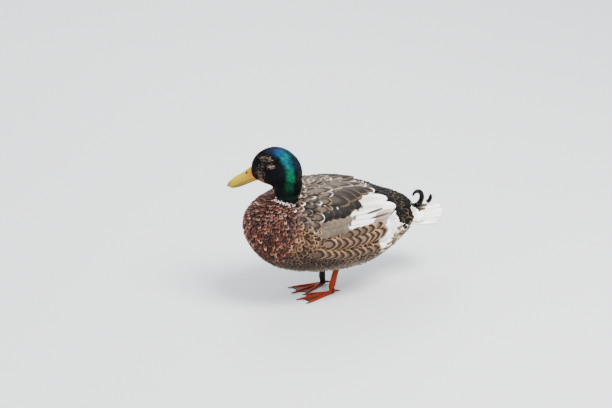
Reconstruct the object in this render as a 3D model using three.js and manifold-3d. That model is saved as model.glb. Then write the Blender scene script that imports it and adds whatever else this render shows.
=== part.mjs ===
// A mallard drake standing at rest, life size, in millimetres.
// The bird faces -Y, its left side is +X, and its soles stand on z = 0.
// Its head is turned to its own right. Sizes are taken over the feathers.
import * as THREE from 'three';
import { mergeVertices } from 'three/addons/utils/BufferGeometryUtils.js';
import Module from 'manifold-3d';

const wasm = await Module();
wasm.setup();

// ---- Driving dimensions ----

const GAP = 0.3; // air between two solids that meet
const AROUND = 36; // sides of a trunk section
const ALONG = 27; // sections of the trunk

// Trunk: y runs back from the breast, z up from the floor.
const TRUNK = [
  // y, top, bottom, half width
  [-129, 119, 119, 0],
  [-125, 140, 98, 26],
  [-108, 157, 71, 46],
  [-80, 168, 54, 59],
  [-40, 175, 43, 65],
  [5, 173, 37.5, 66],
  [50, 160, 39, 61],
  [88, 146, 53, 50],
  [115, 134, 68, 38],
  [133, 123, 86, 26],
  [143, 106, 103, 0],
];
const TRUNK_WIDEST = 0.46; // height of the widest line, as a part of the depth
const TRUNK_BACK = 2.25; // superellipse power of the upper half
const TRUNK_BELLY = 2.1; // and of the lower half

// Neck: the middle line from inside the trunk to inside the head.
const NECK = [
  // x, y, z, half width, half depth
  [0, -50, 116, 40, 44],
  [0, -57, 144, 31, 34],
  [2, -63, 164, 24, 26],
  [6, -68, 182, 20.5, 21.5],
  [9, -72, 200, 18, 19],
];

// Head: its own frame has the bill forward along -Y, from the middle of the bill's base.
const HEAD_AT = new THREE.Vector3(-30, -99, 198);
const BILL_AT = new THREE.Vector3(0, -2, -5); // in the head's frame
const HEAD_TURN = 53; // degrees to the bird's right
const HEAD_DROP = 8; // degrees the skull leans forward
const BILL_DROP = 17.5; // degrees the bill points below the line of the skull
const HEAD = [
  // y, top, bottom, half width
  [-6, 4, -4, 0],
  [-4, 13, -11, 9],
  [4, 23, -17, 14],
  [15, 30, -21, 19],
  [29, 34, -24, 22],
  [44, 32.5, -26, 22.5],
  [57, 24.5, -26, 20],
  [66, 12, -19, 14],
  [70, -4, -4, 0],
];

const EYE = { radius: 5.2, y: 24, z: 15.8, showing: 0.4 };

const BILL = {
  length: 53, // middle of the base to tip
  baseHalfWidth: 9.6,
  waistHalfWidth: 9,
  spoonHalfWidth: 11.8,
  baseTop: 11.5,
  waistTop: 4.8,
  tipTop: 0.2,
  mouth: -5.8, // height of the line between the two mandibles
  lowerDepth: 5.2,
  mouthSag: 2.2, // how far the mouth line bows down before the tip
};

// Tail: a flat fan of broad feathers.
const TAIL = {
  root: 104,
  tip: 195,
  rootZ: 112,
  tipZ: 99,
  rootHalfWidth: 39,
  halfWidth: 38,
  droop: 12, // how far the fan's sides hang below its middle
  rootThick: 10,
  thick: 2.4,
  steps: 12,
  sides: 16,
};

// Angles are counted up from the trunk's widest line, in degrees.
const WING = {
  front: -80,
  back: 98,
  thick: 5,
  sunk: 2, // how far its inner side would lie in the trunk, before that is cut away
  shoulderAngle: 30,
  tipAngle: 50,
  spread: 31,
  steps: 16,
  across: 7,
};

// Drake's curls: root, height and reach of the roll, share of a full turn.
const CURL_STEPS = 18;
const CURL_SIDES = 6;
const LONG_CURL = { x: 4, y: 148, z: 107.2, height: 26, reach: 11.5, turns: 0.66, halfWidth: 3.7 };
const SHORT_CURL = { x: -8, y: 175, z: 103.4, height: 19, reach: 7, turns: 0.3, halfWidth: 2.7 };

const LEG = {
  hipX: 27,
  hipY: 8,
  hipZ: 58,
  hockZ: 36,
  ankleX: 18,
  ankleY: -2,
  ankleZ: 12,
  behind: 4, // how far the right foot stands behind the left one
  hipRadius: 6.4,
  radius: 4.1,
};

const FOOT = {
  turnIn: { left: 3, right: 9 }, // degrees the middle toe points to the midline
  toes: [
    // splay outwards from the middle toe, length, height of the middle line at both ends, radius
    { name: 'outer', splay: 21, length: 48, from: 2.2, to: 1.3, thick: 2.7 },
    { name: 'middle', splay: 0, length: 52, from: 2.2, to: 1.3, thick: 2.7 },
    { name: 'inner', splay: -18, length: 38, from: 2.2, to: 1.3, thick: 2.6 },
    { name: 'hind', splay: 190, length: 11, from: 5.2, to: 2.6, thick: 2.2 },
  ],
  tipRadius: 1.5,
  web: 1.3, // thickness
  webSag: 0.86, // how far out the free edge of the web reaches
};

const CLAW = { length: 5.5, radii: [1.4, 1.1, 0.4], arch: [0, 0.2, -0.2] };

// ---- Geometry helpers ----

const { degToRad: radians, lerp, smoothstep } = THREE.MathUtils;

// A smooth curve through rows of numbers, t from 0 to 1.
function along(rows, t) {
  const last = rows.length - 1;
  const place = Math.min(t * last, last - 1e-9);
  const i = Math.floor(place);
  const f = place - i;
  const row = (k) => rows[Math.max(0, Math.min(last, k))];
  return rows[0].map((_, c) => {
    const p = [row(i - 1)[c], row(i)[c], row(i + 1)[c], row(i + 2)[c]];
    const into = (p[2] - p[0]) / 2;
    const out = (p[3] - p[1]) / 2;
    const rise = p[2] - p[1];
    return p[1] + f * (into + f * (3 * rise - 2 * into - out + f * (into + out - 2 * rise)));
  });
}

// Closed surface through rings of points; each end closes on the ring's middle.
function loft(rings) {
  const count = rings[0].length;
  const points = rings.flat();
  const index = [];
  for (let i = 0; i + 1 < rings.length; i++) {
    for (let k = 0; k < count; k++) {
      const a = i * count + k;
      const b = i * count + ((k + 1) % count);
      index.push(a, b, a + count, b, b + count, a + count);
    }
  }
  const ends = [[rings[0], 0, true], [rings.at(-1), points.length - count, false]];
  for (const [ring, first, turned] of ends) {
    const middle = points.length;
    points.push(ring.reduce((sum, p) => sum.add(p), new THREE.Vector3()).divideScalar(count));
    for (let k = 0; k < count; k++) {
      const a = first + k;
      const b = first + ((k + 1) % count);
      index.push(...(turned ? [middle, b, a] : [middle, a, b]));
    }
  }
  const geometry = new THREE.BufferGeometry().setFromPoints(points);
  geometry.setIndex(index);
  return geometry;
}

// One section of a body: upper and lower halves of superellipses on the widest line.
function section(y, top, bottom, half, widest, upper, lower, sides, grow = 0) {
  const ring = [];
  const level = bottom + widest * (top - bottom);
  for (let k = 0; k < sides; k++) {
    const a = (2 * Math.PI * k) / sides;
    const c = Math.cos(a);
    const s = Math.sin(a);
    const power = s > 0 ? upper : lower;
    const rise = s > 0 ? top - level : level - bottom;
    const x = (half + grow) * Math.sign(c) * Math.abs(c) ** (2 / power);
    const z = level + (rise + grow) * Math.sign(s) * Math.abs(s) ** (2 / power);
    ring.push(new THREE.Vector3(x, y, z));
  }
  return ring;
}

// Rings of a table of stations, close together at both ends.
function stations(table, count, ring) {
  const rings = [];
  for (let i = 0; i <= count; i++) {
    const t = 0.5 - 0.5 * Math.cos((Math.PI * (i + 0.25)) / (count + 0.5));
    rings.push(ring(along(table, t), t));
  }
  return rings;
}

function solid(geometry) {
  const bare = geometry.clone();
  bare.deleteAttribute('normal');
  bare.deleteAttribute('uv');
  const merged = mergeVertices(bare, 1e-4);
  const mesh = new wasm.Mesh({
    numProp: 3,
    vertProperties: new Float32Array(merged.attributes.position.array),
    triVerts: new Uint32Array(merged.index.array),
  });
  const made = new wasm.Manifold(mesh);
  if (made.volume() >= 0) return made;
  const turned = merged.index.array;
  for (let i = 0; i < turned.length; i += 3) {
    [turned[i], turned[i + 1]] = [turned[i + 1], turned[i]];
  }
  mesh.triVerts = new Uint32Array(turned);
  return new wasm.Manifold(mesh);
}

function geometryOf(manifold) {
  const mesh = manifold.getMesh();
  const geometry = new THREE.BufferGeometry();
  geometry.setAttribute('position', new THREE.BufferAttribute(new Float32Array(mesh.vertProperties), 3));
  geometry.setIndex(new THREE.BufferAttribute(new Uint32Array(mesh.triVerts), 1));
  geometry.computeVertexNormals();
  return geometry;
}

// A tapering rod with a round or oval section along a curve.
function rod(points, radii, sides, steps, flatness = 1) {
  const curve = new THREE.CatmullRomCurve3(points);
  const rings = [];
  for (let i = 0; i <= steps; i++) {
    const t = i / steps;
    const middle = curve.getPoint(t);
    const forward = curve.getTangent(t);
    const side = new THREE.Vector3(1, 0, 0).addScaledVector(forward, -forward.x).normalize();
    const up = new THREE.Vector3().crossVectors(forward, side);
    const [radius] = along(radii.map((r) => [r]), t);
    const ring = [];
    for (let k = 0; k < sides; k++) {
      const a = (2 * Math.PI * k) / sides;
      const p = middle.clone().addScaledVector(side, radius * Math.cos(a));
      ring.push(p.addScaledVector(up, radius * flatness * Math.sin(a)));
    }
    rings.push(ring);
  }
  return loft(rings);
}

// ---- Trunk ----

function trunk(grow) {
  return solid(loft(stations(TRUNK, ALONG, ([y, top, bottom, half], t) => {
    const push = grow * (2 * t - 1);
    return section(y + push, top, bottom, half, TRUNK_WIDEST, TRUNK_BACK, TRUNK_BELLY, AROUND, grow);
  })));
}

const trunkGrown = trunk(GAP);

// ---- Head, with the sockets of the eyes ----

const headPlace = new THREE.Matrix4().compose(
  HEAD_AT,
  new THREE.Quaternion().setFromEuler(
    new THREE.Euler(radians(HEAD_DROP), 0, radians(-HEAD_TURN), 'ZXY'),
  ),
  new THREE.Vector3(1, 1, 1),
);

function head(grow) {
  return solid(loft(stations(HEAD, 18, ([y, top, bottom, half], t) =>
    section(y + grow * (2 * t - 1), top, bottom, half, 0.46, 2.1, 2.1, 24, grow))));
}

const billPlace = new THREE.Matrix4().makeRotationX(radians(BILL_DROP)).setPosition(BILL_AT);
const moved = (manifold, place) => solid(geometryOf(manifold).applyMatrix4(place));

const headGrown = head(GAP);

// Half width of the head at the eye, found on the head's own table.
function headHalfWidth(y) {
  let t = 0;
  while (along(HEAD, t)[0] < y) t += 0.001;
  return along(HEAD, t)[3];
}

function eye(side, grow) {
  const ball = new THREE.SphereGeometry(EYE.radius + grow, 12, 8);
  const out = headHalfWidth(EYE.y) * 0.985 + EYE.showing - EYE.radius;
  ball.translate(side * out, EYE.y, EYE.z);
  return solid(ball);
}

const headSolid = head(0).subtract(eye(1, GAP)).subtract(eye(-1, GAP));

// ---- Bill: two mandibles that close on the line of the mouth ----

function billHalfWidth(f) {
  // f runs from the base, 0, to the tip, 1
  const waist = smoothstep(f, 0, 0.42);
  const spoon = smoothstep(f, 0.38, 0.8);
  const body = BILL.baseHalfWidth
    + (BILL.waistHalfWidth - BILL.baseHalfWidth) * waist
    + (BILL.spoonHalfWidth - BILL.waistHalfWidth) * spoon;
  const round = f > 0.74 ? Math.sqrt(Math.max(0, 1 - ((f - 0.74) / 0.26) ** 2)) : 1;
  return body * round;
}

function billTop(f) {
  const drop = smoothstep(f, -0.1, 0.62);
  const end = smoothstep(f, 0.6, 1);
  const line = BILL.baseTop + (BILL.waistTop - BILL.baseTop) * drop;
  return line + (BILL.tipTop - BILL.waistTop) * end;
}

function billRings(upper) {
  const rings = [];
  const steps = 13;
  const short = upper ? 0 : 2.5;
  const slim = upper ? 1 : 0.9;
  for (let i = 0; i <= steps; i++) {
    const f = Math.sin((Math.PI / 2) * (i / steps)) * 0.998;
    const y = -(BILL.length - short) * f;
    const half = Math.max(billHalfWidth(f) * slim, 0.2);
    const end = Math.sqrt(Math.max(1 - f ** 8, 0.01));
    const sag = BILL.mouth - BILL.mouthSag * Math.sin(Math.PI * f) * f;
    const ring = [];
    for (let k = 0; k < 14; k++) {
      const a = (2 * Math.PI * k) / 14;
      const c = Math.cos(a);
      const s = Math.sin(a);
      const rise = upper
        ? (s > 0 ? (billTop(f) - sag) * end : 0.1)
        : (s > 0 ? 0.1 : BILL.lowerDepth * end);
      const level = upper ? sag : sag - GAP - 0.2;
      ring.push(new THREE.Vector3(half * c, y, level + rise * Math.sign(s) * Math.abs(s) ** 0.9));
    }
    rings.push(ring);
  }
  // the root runs back into the head, where the head cuts it off
  const root = rings[0].map((p) => p.clone().setY(7));
  return [root, ...rings];
}

const headAtBill = moved(headGrown, billPlace.clone().invert());
const billLowerWhole = solid(loft(billRings(false)));
const billUpper = solid(loft(billRings(true))).subtract(headAtBill);
const billLower = billLowerWhole.subtract(headAtBill);

// ---- Neck ----

function neck() {
  const curve = new THREE.CatmullRomCurve3(NECK.map(([x, y, z]) => new THREE.Vector3(x, y, z)));
  const rings = [];
  const steps = 13;
  for (let i = 0; i <= steps; i++) {
    const t = i / steps;
    const [, , , half, deep] = along(NECK, t);
    const middle = curve.getPoint(t);
    const forward = curve.getTangent(t);
    const side = new THREE.Vector3(1, 0, 0).addScaledVector(forward, -forward.x).normalize();
    const fore = new THREE.Vector3().crossVectors(side, forward);
    const ring = [];
    for (let k = 0; k < 24; k++) {
      const a = (2 * Math.PI * k) / 24;
      const p = middle.clone().addScaledVector(side, half * Math.cos(a));
      ring.push(p.addScaledVector(fore, deep * Math.sin(a)));
    }
    rings.push(ring);
  }
  return solid(loft(rings));
}

const neckSolid = neck().subtract(moved(headGrown, headPlace)).subtract(trunkGrown);

// ---- Assembly ----

const duck = new THREE.Group();

function add(name, manifold, material, parent = duck) {
  const mesh = new THREE.Mesh(geometryOf(manifold), material);
  mesh.name = name;
  parent.add(mesh);
  return mesh;
}

const plumage = (color) => new THREE.MeshStandardMaterial({ color, roughness: 0.8, metalness: 0 });
const BROWN = plumage(0x6b5545);
const GREEN = new THREE.MeshStandardMaterial({ color: 0x0d4a41, roughness: 0.35, metalness: 0.2 });
const HORN = new THREE.MeshStandardMaterial({ color: 0xc8b83a, roughness: 0.45, metalness: 0 });
const EYEBALL = new THREE.MeshStandardMaterial({ color: 0x140c08, roughness: 0.08, metalness: 0 });
const GREY = plumage(0x7d7065);
const WHITE = plumage(0xe9e6e0);
const BLACK = plumage(0x15130f);
const CLAW_HORN = new THREE.MeshStandardMaterial({ color: 0x3a2a1c, roughness: 0.4, metalness: 0 });
const ORANGE = new THREE.MeshStandardMaterial({ color: 0xd4491a, roughness: 0.5, metalness: 0 });

const headGroup = new THREE.Group();
headGroup.applyMatrix4(headPlace);
duck.add(headGroup);
add('head', headSolid, GREEN, headGroup);
const billGroup = new THREE.Group();
billGroup.applyMatrix4(billPlace);
headGroup.add(billGroup);
add('bill_upper', billUpper, HORN, billGroup);
add('bill_lower', billLower, HORN, billGroup);
add('eye_left', eye(1, 0), EYEBALL, headGroup);
add('eye_right', eye(-1, 0), EYEBALL, headGroup);
add('neck', neckSolid, GREEN);

// ---- Wings: folded, each a low shell over the side of the back ----

// A point of the trunk's surface: t along, angle up from the widest line, lift outwards.
function onTrunk(t, angle, side, lift) {
  const [y, top, bottom, half] = along(TRUNK, t);
  const level = bottom + TRUNK_WIDEST * (top - bottom);
  const c = Math.cos(angle);
  const s = Math.sin(angle);
  const power = s > 0 ? TRUNK_BACK : TRUNK_BELLY;
  const rise = s > 0 ? top - level : level - bottom;
  const x = (half + lift) * Math.abs(c) ** (2 / power);
  const z = level + (rise + lift) * Math.sign(s) * Math.abs(s) ** (2 / power);
  return new THREE.Vector3(side * x, y, z);
}

function trunkPlace(y) {
  let t = 0;
  while (along(TRUNK, t)[0] < y) t += 0.0005;
  return t;
}

function wing(side) {
  const { steps, across } = WING;
  const front = trunkPlace(WING.front);
  const back = trunkPlace(WING.back);
  const rings = [];
  for (let i = 0; i <= steps; i++) {
    const f = 0.5 - 0.5 * Math.cos((Math.PI * (i + 0.2)) / (steps + 0.4));
    const t = front + (back - front) * f;
    const body = Math.max(Math.sin(Math.PI * f), 0) ** 0.5;
    const turned = smoothstep(f, 0, 1);
    const middle = radians(lerp(WING.shoulderAngle, WING.tipAngle, turned));
    const open = radians(WING.spread) * Math.max(Math.sqrt(1 - Math.abs(2 * f - 1) ** 3), 0.05);
    const outer = [];
    const inner = [];
    for (let k = 0; k <= across; k++) {
      const v = (2 * k) / across - 1;
      const angle = middle + open * v;
      const dome = Math.sqrt(Math.max(1 - v ** 4, 0));
      outer.push(onTrunk(t, angle, side, 0.6 + WING.thick * dome * Math.max(body, 0.1)));
      inner.unshift(onTrunk(t, angle, side, -WING.sunk));
    }
    rings.push([...outer, ...inner]);
  }
  return solid(loft(rings)).subtract(trunkGrown);
}

// ---- Tail ----

function tail(grow) {
  const rings = [];
  const rounded = 0.55; // where the fan's rounded end starts
  for (let i = 0; i <= TAIL.steps; i++) {
    const f = Math.sin((Math.PI / 2) * (i / TAIL.steps)) * 0.999;
    const y = lerp(TAIL.root, TAIL.tip, f);
    const z = lerp(TAIL.rootZ, TAIL.tipZ, f);
    const spread = lerp(TAIL.rootHalfWidth, TAIL.halfWidth, smoothstep(f, 0, 0.7));
    const end = Math.max((f - rounded) / (1 - rounded), 0);
    const round = Math.sqrt(Math.max(1 - end ** 2, 0.002));
    const thick = lerp(TAIL.rootThick, TAIL.thick, smoothstep(f, 0, 0.6));
    const ring = [];
    for (let k = 0; k < TAIL.sides; k++) {
      const a = (2 * Math.PI * k) / TAIL.sides;
      const x = (spread * round + grow) * Math.cos(a);
      const droop = TAIL.droop * (x / TAIL.halfWidth) ** 2;
      ring.push(new THREE.Vector3(x, y + grow * f, z - droop + (thick / 2 + grow) * Math.sin(a)));
    }
    rings.push(ring);
  }
  return solid(loft(rings));
}

const tailSolid = tail(0).subtract(trunkGrown);

// ---- Drake's curls: two narrow black feathers rolled up over the tail ----

function curl({ x, y, z, height, reach, turns, halfWidth }) {
  const points = [];
  for (let i = 0; i <= CURL_STEPS; i++) {
    const f = i / CURL_STEPS;
    const a = -Math.PI / 2 + turns * 2 * Math.PI * f;
    const shrink = 1 - 0.35 * f;
    points.push(new THREE.Vector3(
      x + 2 * f,
      y + reach * shrink * Math.cos(a),
      z + (height / 2) * (1 + shrink * Math.sin(a)),
    ));
  }
  const radii = [halfWidth, halfWidth, halfWidth * 0.8, 0.8];
  return solid(rod(points, radii, CURL_SIDES, CURL_STEPS, 0.85));
}

const tailGrown = tail(GAP);
const trim = (s) => s.subtract(trunkGrown).subtract(tailGrown);
add('trunk', trunk(0), BROWN);
add('wing_left', wing(1), GREY);
add('wing_right', wing(-1), GREY);
add('tail', tailSolid, WHITE);
add('tail_curl_long', trim(curl(LONG_CURL)), BLACK);
add('tail_curl_short', trim(curl(SHORT_CURL)), BLACK);

// ---- Legs and feet ----

const slab = (low, high) =>
  solid(new THREE.BoxGeometry(300, 300, high - low).translate(0, 0, (low + high) / 2));
const ankleY = (side) => LEG.ankleY + (side > 0 ? 0 : LEG.behind);

function leg(side) {
  const hockX = lerp(LEG.ankleX, LEG.hipX, 0.5);
  const hockY = lerp(ankleY(side), LEG.hipY, 0.45);
  const points = [
    new THREE.Vector3(side * LEG.hipX, LEG.hipY, LEG.hipZ),
    new THREE.Vector3(side * hockX, hockY, LEG.hockZ),
    new THREE.Vector3(side * LEG.ankleX, ankleY(side), LEG.ankleZ - 4),
  ];
  const radii = [LEG.hipRadius, LEG.radius, LEG.radius, LEG.radius * 1.1];
  return solid(rod(points, radii, 12, 8, 1.15))
    .subtract(trunkGrown)
    .subtract(slab(-40, LEG.ankleZ));
}

// The toes of one foot: the way each points and the heights of its middle line.
function toesOf(side, turnIn) {
  return FOOT.toes.map(({ name, splay, length, from, to, thick }) => {
    const a = radians(splay - turnIn);
    return {
      name,
      way: new THREE.Vector3(side * Math.sin(a), -Math.cos(a), 0),
      length,
      from,
      to,
      thick,
    };
  });
}

const onToe = (toe, distance) =>
  toe.way.clone().multiplyScalar(distance).setZ(toe.from + (toe.to - toe.from) * (distance / toe.length));

function foot(toes) {
  const parts = toes.map((toe) => solid(rod(
    [0, 0.35, 0.7, 1].map((f) => onToe(toe, toe.length * f)),
    [toe.thick, toe.thick * 0.88, toe.thick * 0.84, FOOT.tipRadius],
    8,
    4,
  )));
  // the web: its free edges sag back between the toes
  const corners = toes.slice(0, 3).map((toe) => onToe(toe, toe.length * 0.97));
  const shape = new THREE.Shape();
  shape.moveTo(0, 4);
  shape.lineTo(corners[0].x, corners[0].y);
  for (const [a, b] of [[corners[0], corners[1]], [corners[1], corners[2]]]) {
    const sag = a.clone().add(b).multiplyScalar(FOOT.webSag / 2);
    shape.quadraticCurveTo(sag.x, sag.y, b.x, b.y);
  }
  shape.closePath();
  const sheet = { depth: FOOT.web, bevelEnabled: false, curveSegments: 4 };
  parts.push(solid(new THREE.ExtrudeGeometry(shape, sheet)));
  const ankle = [0, 0.5, 1].map((f) => new THREE.Vector3(0, 1.5 - 1.5 * f, 2 + LEG.ankleZ * f));
  parts.push(solid(rod(ankle, [4.6, 4.2, LEG.radius * 1.15], 10, 3)));
  // the sole is cut flat on the floor, and the ankle where the leg stands on it
  return parts.reduce((whole, piece) => whole.add(piece))
    .subtract(slab(-40, 0))
    .subtract(slab(LEG.ankleZ - GAP, 60));
}

// A claw on the end of a toe: a short curved cone of horn.
function claw(toe) {
  const points = [GAP, CLAW.length / 2, CLAW.length].map((d, k) => {
    const p = onToe(toe, toe.length + d);
    return p.setZ(p.z + CLAW.arch[k]);
  });
  return solid(rod(points, CLAW.radii, 6, 3));
}

for (const [name, side] of [['left', 1], ['right', -1]]) {
  const toes = toesOf(side, FOOT.turnIn[name]);
  const standing = new THREE.Group();
  standing.position.set(side * LEG.ankleX, ankleY(side), 0);
  duck.add(standing);
  add(`leg_${name}`, leg(side), ORANGE);
  add(`foot_${name}`, foot(toes), ORANGE, standing);
  for (const toe of toes) {
    add(`claw_${name}_${toe.name}`, claw(toe), CLAW_HORN, standing);
  }
}

// The origin is at the middle of the bird's box, on the floor.
duck.updateMatrixWorld(true);
const box = new THREE.Box3().setFromObject(duck, true);
const centre = box.getCenter(new THREE.Vector3());
duck.position.set(-centre.x, -centre.y, 0);

const group = new THREE.Group();
group.add(duck);
export default group;
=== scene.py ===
import math

import bmesh
import bpy
import numpy as np
from mathutils import Matrix, Vector
from mathutils.bvhtree import BVHTree
from mathutils.kdtree import KDTree


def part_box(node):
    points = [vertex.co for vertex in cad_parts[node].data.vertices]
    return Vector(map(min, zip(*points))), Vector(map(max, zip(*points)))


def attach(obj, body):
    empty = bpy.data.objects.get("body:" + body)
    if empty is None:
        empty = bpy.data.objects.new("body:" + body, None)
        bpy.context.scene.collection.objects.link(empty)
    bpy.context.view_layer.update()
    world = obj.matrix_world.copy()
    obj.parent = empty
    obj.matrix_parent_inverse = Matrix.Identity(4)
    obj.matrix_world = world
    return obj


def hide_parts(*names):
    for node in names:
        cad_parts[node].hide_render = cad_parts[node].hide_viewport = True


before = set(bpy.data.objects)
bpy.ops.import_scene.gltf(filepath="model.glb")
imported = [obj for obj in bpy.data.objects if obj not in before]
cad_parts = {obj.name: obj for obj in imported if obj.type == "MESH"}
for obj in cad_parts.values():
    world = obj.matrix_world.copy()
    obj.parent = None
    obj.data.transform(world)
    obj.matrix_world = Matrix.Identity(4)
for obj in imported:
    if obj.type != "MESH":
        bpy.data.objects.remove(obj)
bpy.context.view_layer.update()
MM = 0.001

# ---- Studio ----------------------------------------------------------------
# A wide pale painted board with three soft boxes round it, as for a museum's catalogue.
# The camera stands ahead of the bird's left shoulder and looks down on it a little.
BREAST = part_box("trunk")[0].y  # stations are counted back from the breast, in mm
MIDDLE = (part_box("trunk")[0].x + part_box("trunk")[1].x) / 2
AIM = Vector((MIDDLE - 40.2 * MM, BREAST + 115.8 * MM, 123.8 * MM))
AZIMUTH, ELEVATION = math.radians(62), math.radians(22)
CAMERA_DISTANCE, LENS = 3.5, 140.0
TOWARD = Vector((
    math.sin(AZIMUTH) * math.cos(ELEVATION),
    -math.cos(AZIMUTH) * math.cos(ELEVATION),
    math.sin(ELEVATION),
))
RIGHT = Vector((math.cos(AZIMUTH), math.sin(AZIMUTH), 0))
UP = Vector((0, 0, 1))
scene = bpy.context.scene


def colour(code):
    """An sRGB hex value as linear red, green, blue and alpha."""
    parts = [int(code[i:i + 2], 16) / 255 for i in (1, 3, 5)]
    linear = [p / 12.92 if p <= 0.04045 else ((p + 0.055) / 1.055) ** 2.4 for p in parts]
    return (*linear, 1.0)


def fill(node, inputs):
    """Sets a node's inputs, named or in their order, or links them to other nodes' outputs."""
    named = isinstance(inputs, dict)
    for name, value in inputs.items() if named else enumerate(inputs):
        socket = (next(s for s in node.inputs if s.name == name and s.enabled) if named
                  else node.inputs[name])
        if isinstance(value, bpy.types.NodeSocket):
            node.id_data.links.new(value, socket)
        else:
            socket.default_value = value


def add(tree, kind, inputs=(), output=None, **settings):
    """Adds one node with its settings and inputs, and returns one of its outputs."""
    node = tree.nodes.new(kind)
    for name, value in settings.items():
        setattr(node, name, value)
    fill(node, inputs)
    return node.outputs[output] if output else next((s for s in node.outputs if s.enabled), None)


def material(label):
    """A new material, its tree and its shader."""
    made = bpy.data.materials.new(label)
    made.use_nodes = True
    return made, made.node_tree, made.node_tree.nodes["Principled BSDF"]


def new_object(label, bm):
    """An object in the scene made of what has been shaped in bm."""
    made = bpy.data.objects.new(label, bpy.data.meshes.new(label))
    bm.to_mesh(made.data)
    bm.free()
    scene.collection.objects.link(made)
    return made


camera = bpy.data.objects.new("camera", bpy.data.cameras.new("camera"))
camera.data.lens = LENS
camera.data.clip_end = 50
camera.data.dof.use_dof = False
camera.location = AIM + TOWARD * CAMERA_DISTANCE
camera.rotation_euler = TOWARD.to_track_quat("Z", "Y").to_euler()
scene.collection.objects.link(camera)
scene.camera = camera

SOFT_BOXES = {
    # name: (to the right, up, toward the camera, side of the box, all in metres, and watts)
    "key_box": (0.9, 1.8, 0.7, 1.0, 115),
    "fill_box": (-1.7, 0.8, 1.2, 1.4, 32),
    "rim_box": (-0.3, 1.6, -1.6, 1.2, 50),
}
for name, (right, up, toward, side, watts) in SOFT_BOXES.items():
    lamp = bpy.data.lights.new(name, "AREA")
    lamp.size = side
    lamp.energy = watts
    box = bpy.data.objects.new(name, lamp)
    level = Vector((TOWARD.x, TOWARD.y, 0)).normalized()
    box.location = AIM + RIGHT * right + UP * up + level * toward
    box.rotation_euler = (box.location - AIM).to_track_quat("Z", "Y").to_euler()
    scene.collection.objects.link(box)

world = bpy.data.worlds.new("studio_air")
world.use_nodes = True
fill(world.node_tree.nodes["Background"], {"Color": colour("#e4e8ee"), "Strength": 1.55})
scene.world = world

FLOOR_HALF = 6.0  # in metres
bm = bmesh.new()
bmesh.ops.create_grid(bm, x_segments=8, y_segments=8, size=FLOOR_HALF)
floor = new_object("studio_floor", bm)
# Painted board: matt, very slightly uneven.
board, tree, shader = material("matt_painted_board")
grain = add(tree, "ShaderNodeTexNoise", {"Scale": 9.0, "Detail": 3.0}, "Fac")
tone = add(tree, "ShaderNodeMix", {"Factor": grain, "A": colour("#c9cacc"), "B": colour("#cfd0d1")},
           data_type="RGBA")
fill(shader, {"Base Color": tone, "Roughness": 0.85})
floor.data.materials.append(board)

# ---- Skin ------------------------------------------------------------------
# One unbroken hide over head, neck, trunk, folded wings and the root of the tail.
# It is thin dull skin, drawn in under the plumage by the plumage's own depth.
FLESH = ("trunk", "neck", "head", "wing_left", "wing_right")
WELD = 0.02 * MM  # corners nearer than this are one
HIDE_MESH = 2.0 * MM  # how closely the hide is worked
HIDE_SMOOTHING = 9  # rounds of smoothing
DOCK = BREAST + 258 * MM  # the hide ends here, in the root of the tail
TRUNK_COAT, DOCK_COAT, FACE_COAT, NAPE_COAT = 4.6, 2.2, 0.7, 1.8  # depths of the plumage, in mm

# The head has a frame of its own: bill forward along -Y, crown up.
HEAD_AT = Vector((MIDDLE - 30 * MM, BREAST + 30 * MM, 198 * MM))
HEAD_TURN, HEAD_DROP = math.radians(53), math.radians(8)
head_place = (Matrix.Translation(HEAD_AT) @ Matrix.Rotation(-HEAD_TURN, 4, "Z")
              @ Matrix.Rotation(HEAD_DROP, 4, "X"))
BILL_AT = Vector((0, -2, -5)) * MM  # the root of the bill, in the head's own frame
BILL_ROOT = head_place @ BILL_AT


def cad_copy(label, nodes):
    """One object made of copies of CAD nodes, with the corners of their triangles joined."""
    bm = bmesh.new()
    for node in nodes:
        bm.from_mesh(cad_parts[node].data)
    bmesh.ops.remove_doubles(bm, verts=bm.verts, dist=WELD)
    return new_object(label, bm)


def settled(obj, modifier):
    """Works a modifier into the object's mesh and takes it off the object."""
    graph = bpy.context.evaluated_depsgraph_get()
    mesh = bpy.data.meshes.new_from_object(obj.evaluated_get(graph), preserve_all_data_layers=True,
                                           depsgraph=graph)
    obj.modifiers.remove(modifier)
    old, obj.data = obj.data, mesh
    bpy.data.meshes.remove(old)
    return obj


def worked(obj, kind, **settings):
    """Works one modifier with its settings into the object's mesh."""
    modifier = obj.modifiers.new(kind, kind)
    for name, value in settings.items():
        setattr(modifier, name, value)
    return settled(obj, modifier)


def largest_body(obj):
    """Keeps the largest connected body of a mesh, and so drops any bubble inside it."""
    bm = bmesh.new()
    bm.from_mesh(obj.data)
    left, bodies = set(bm.verts), []
    while left:
        found, edge = set(), [left.pop()]
        while edge:
            vert = edge.pop()
            found.add(vert)
            for link in vert.link_edges:
                other = link.other_vert(vert)
                if other in left:
                    left.discard(other)
                    edge.append(other)
        bodies.append(found)
    bodies.sort(key=len)
    bmesh.ops.delete(bm, geom=[v for body in bodies[:-1] for v in body], context="VERTS")
    bm.to_mesh(obj.data)
    bm.free()
    return obj


def points_of(obj, what="co"):
    """The places, or the normals, of a mesh's vertices."""
    values = np.zeros(len(obj.data.vertices) * 3, np.float32)
    if what == "co":
        obj.data.vertices.foreach_get("co", values)
    else:
        obj.data.vertex_normals.foreach_get("vector", values)
    return values.reshape(-1, 3).astype(float)


def store(mesh, name, values):
    """Stores a number, a direction or a colour with alpha for each vertex."""
    values = np.asarray(values, np.float32)
    kind, field = {1: ("FLOAT", "value"), 3: ("FLOAT_VECTOR", "vector"),
                   4: ("FLOAT_COLOR", "color")}[values.size // len(values)]
    mesh.attributes.new(name, kind, "POINT").data.foreach_set(field, values.ravel())


def unit(vectors):
    """The same directions, one unit long."""
    return vectors / np.maximum(np.linalg.norm(vectors, axis=-1, keepdims=True), 1e-12)


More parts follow.
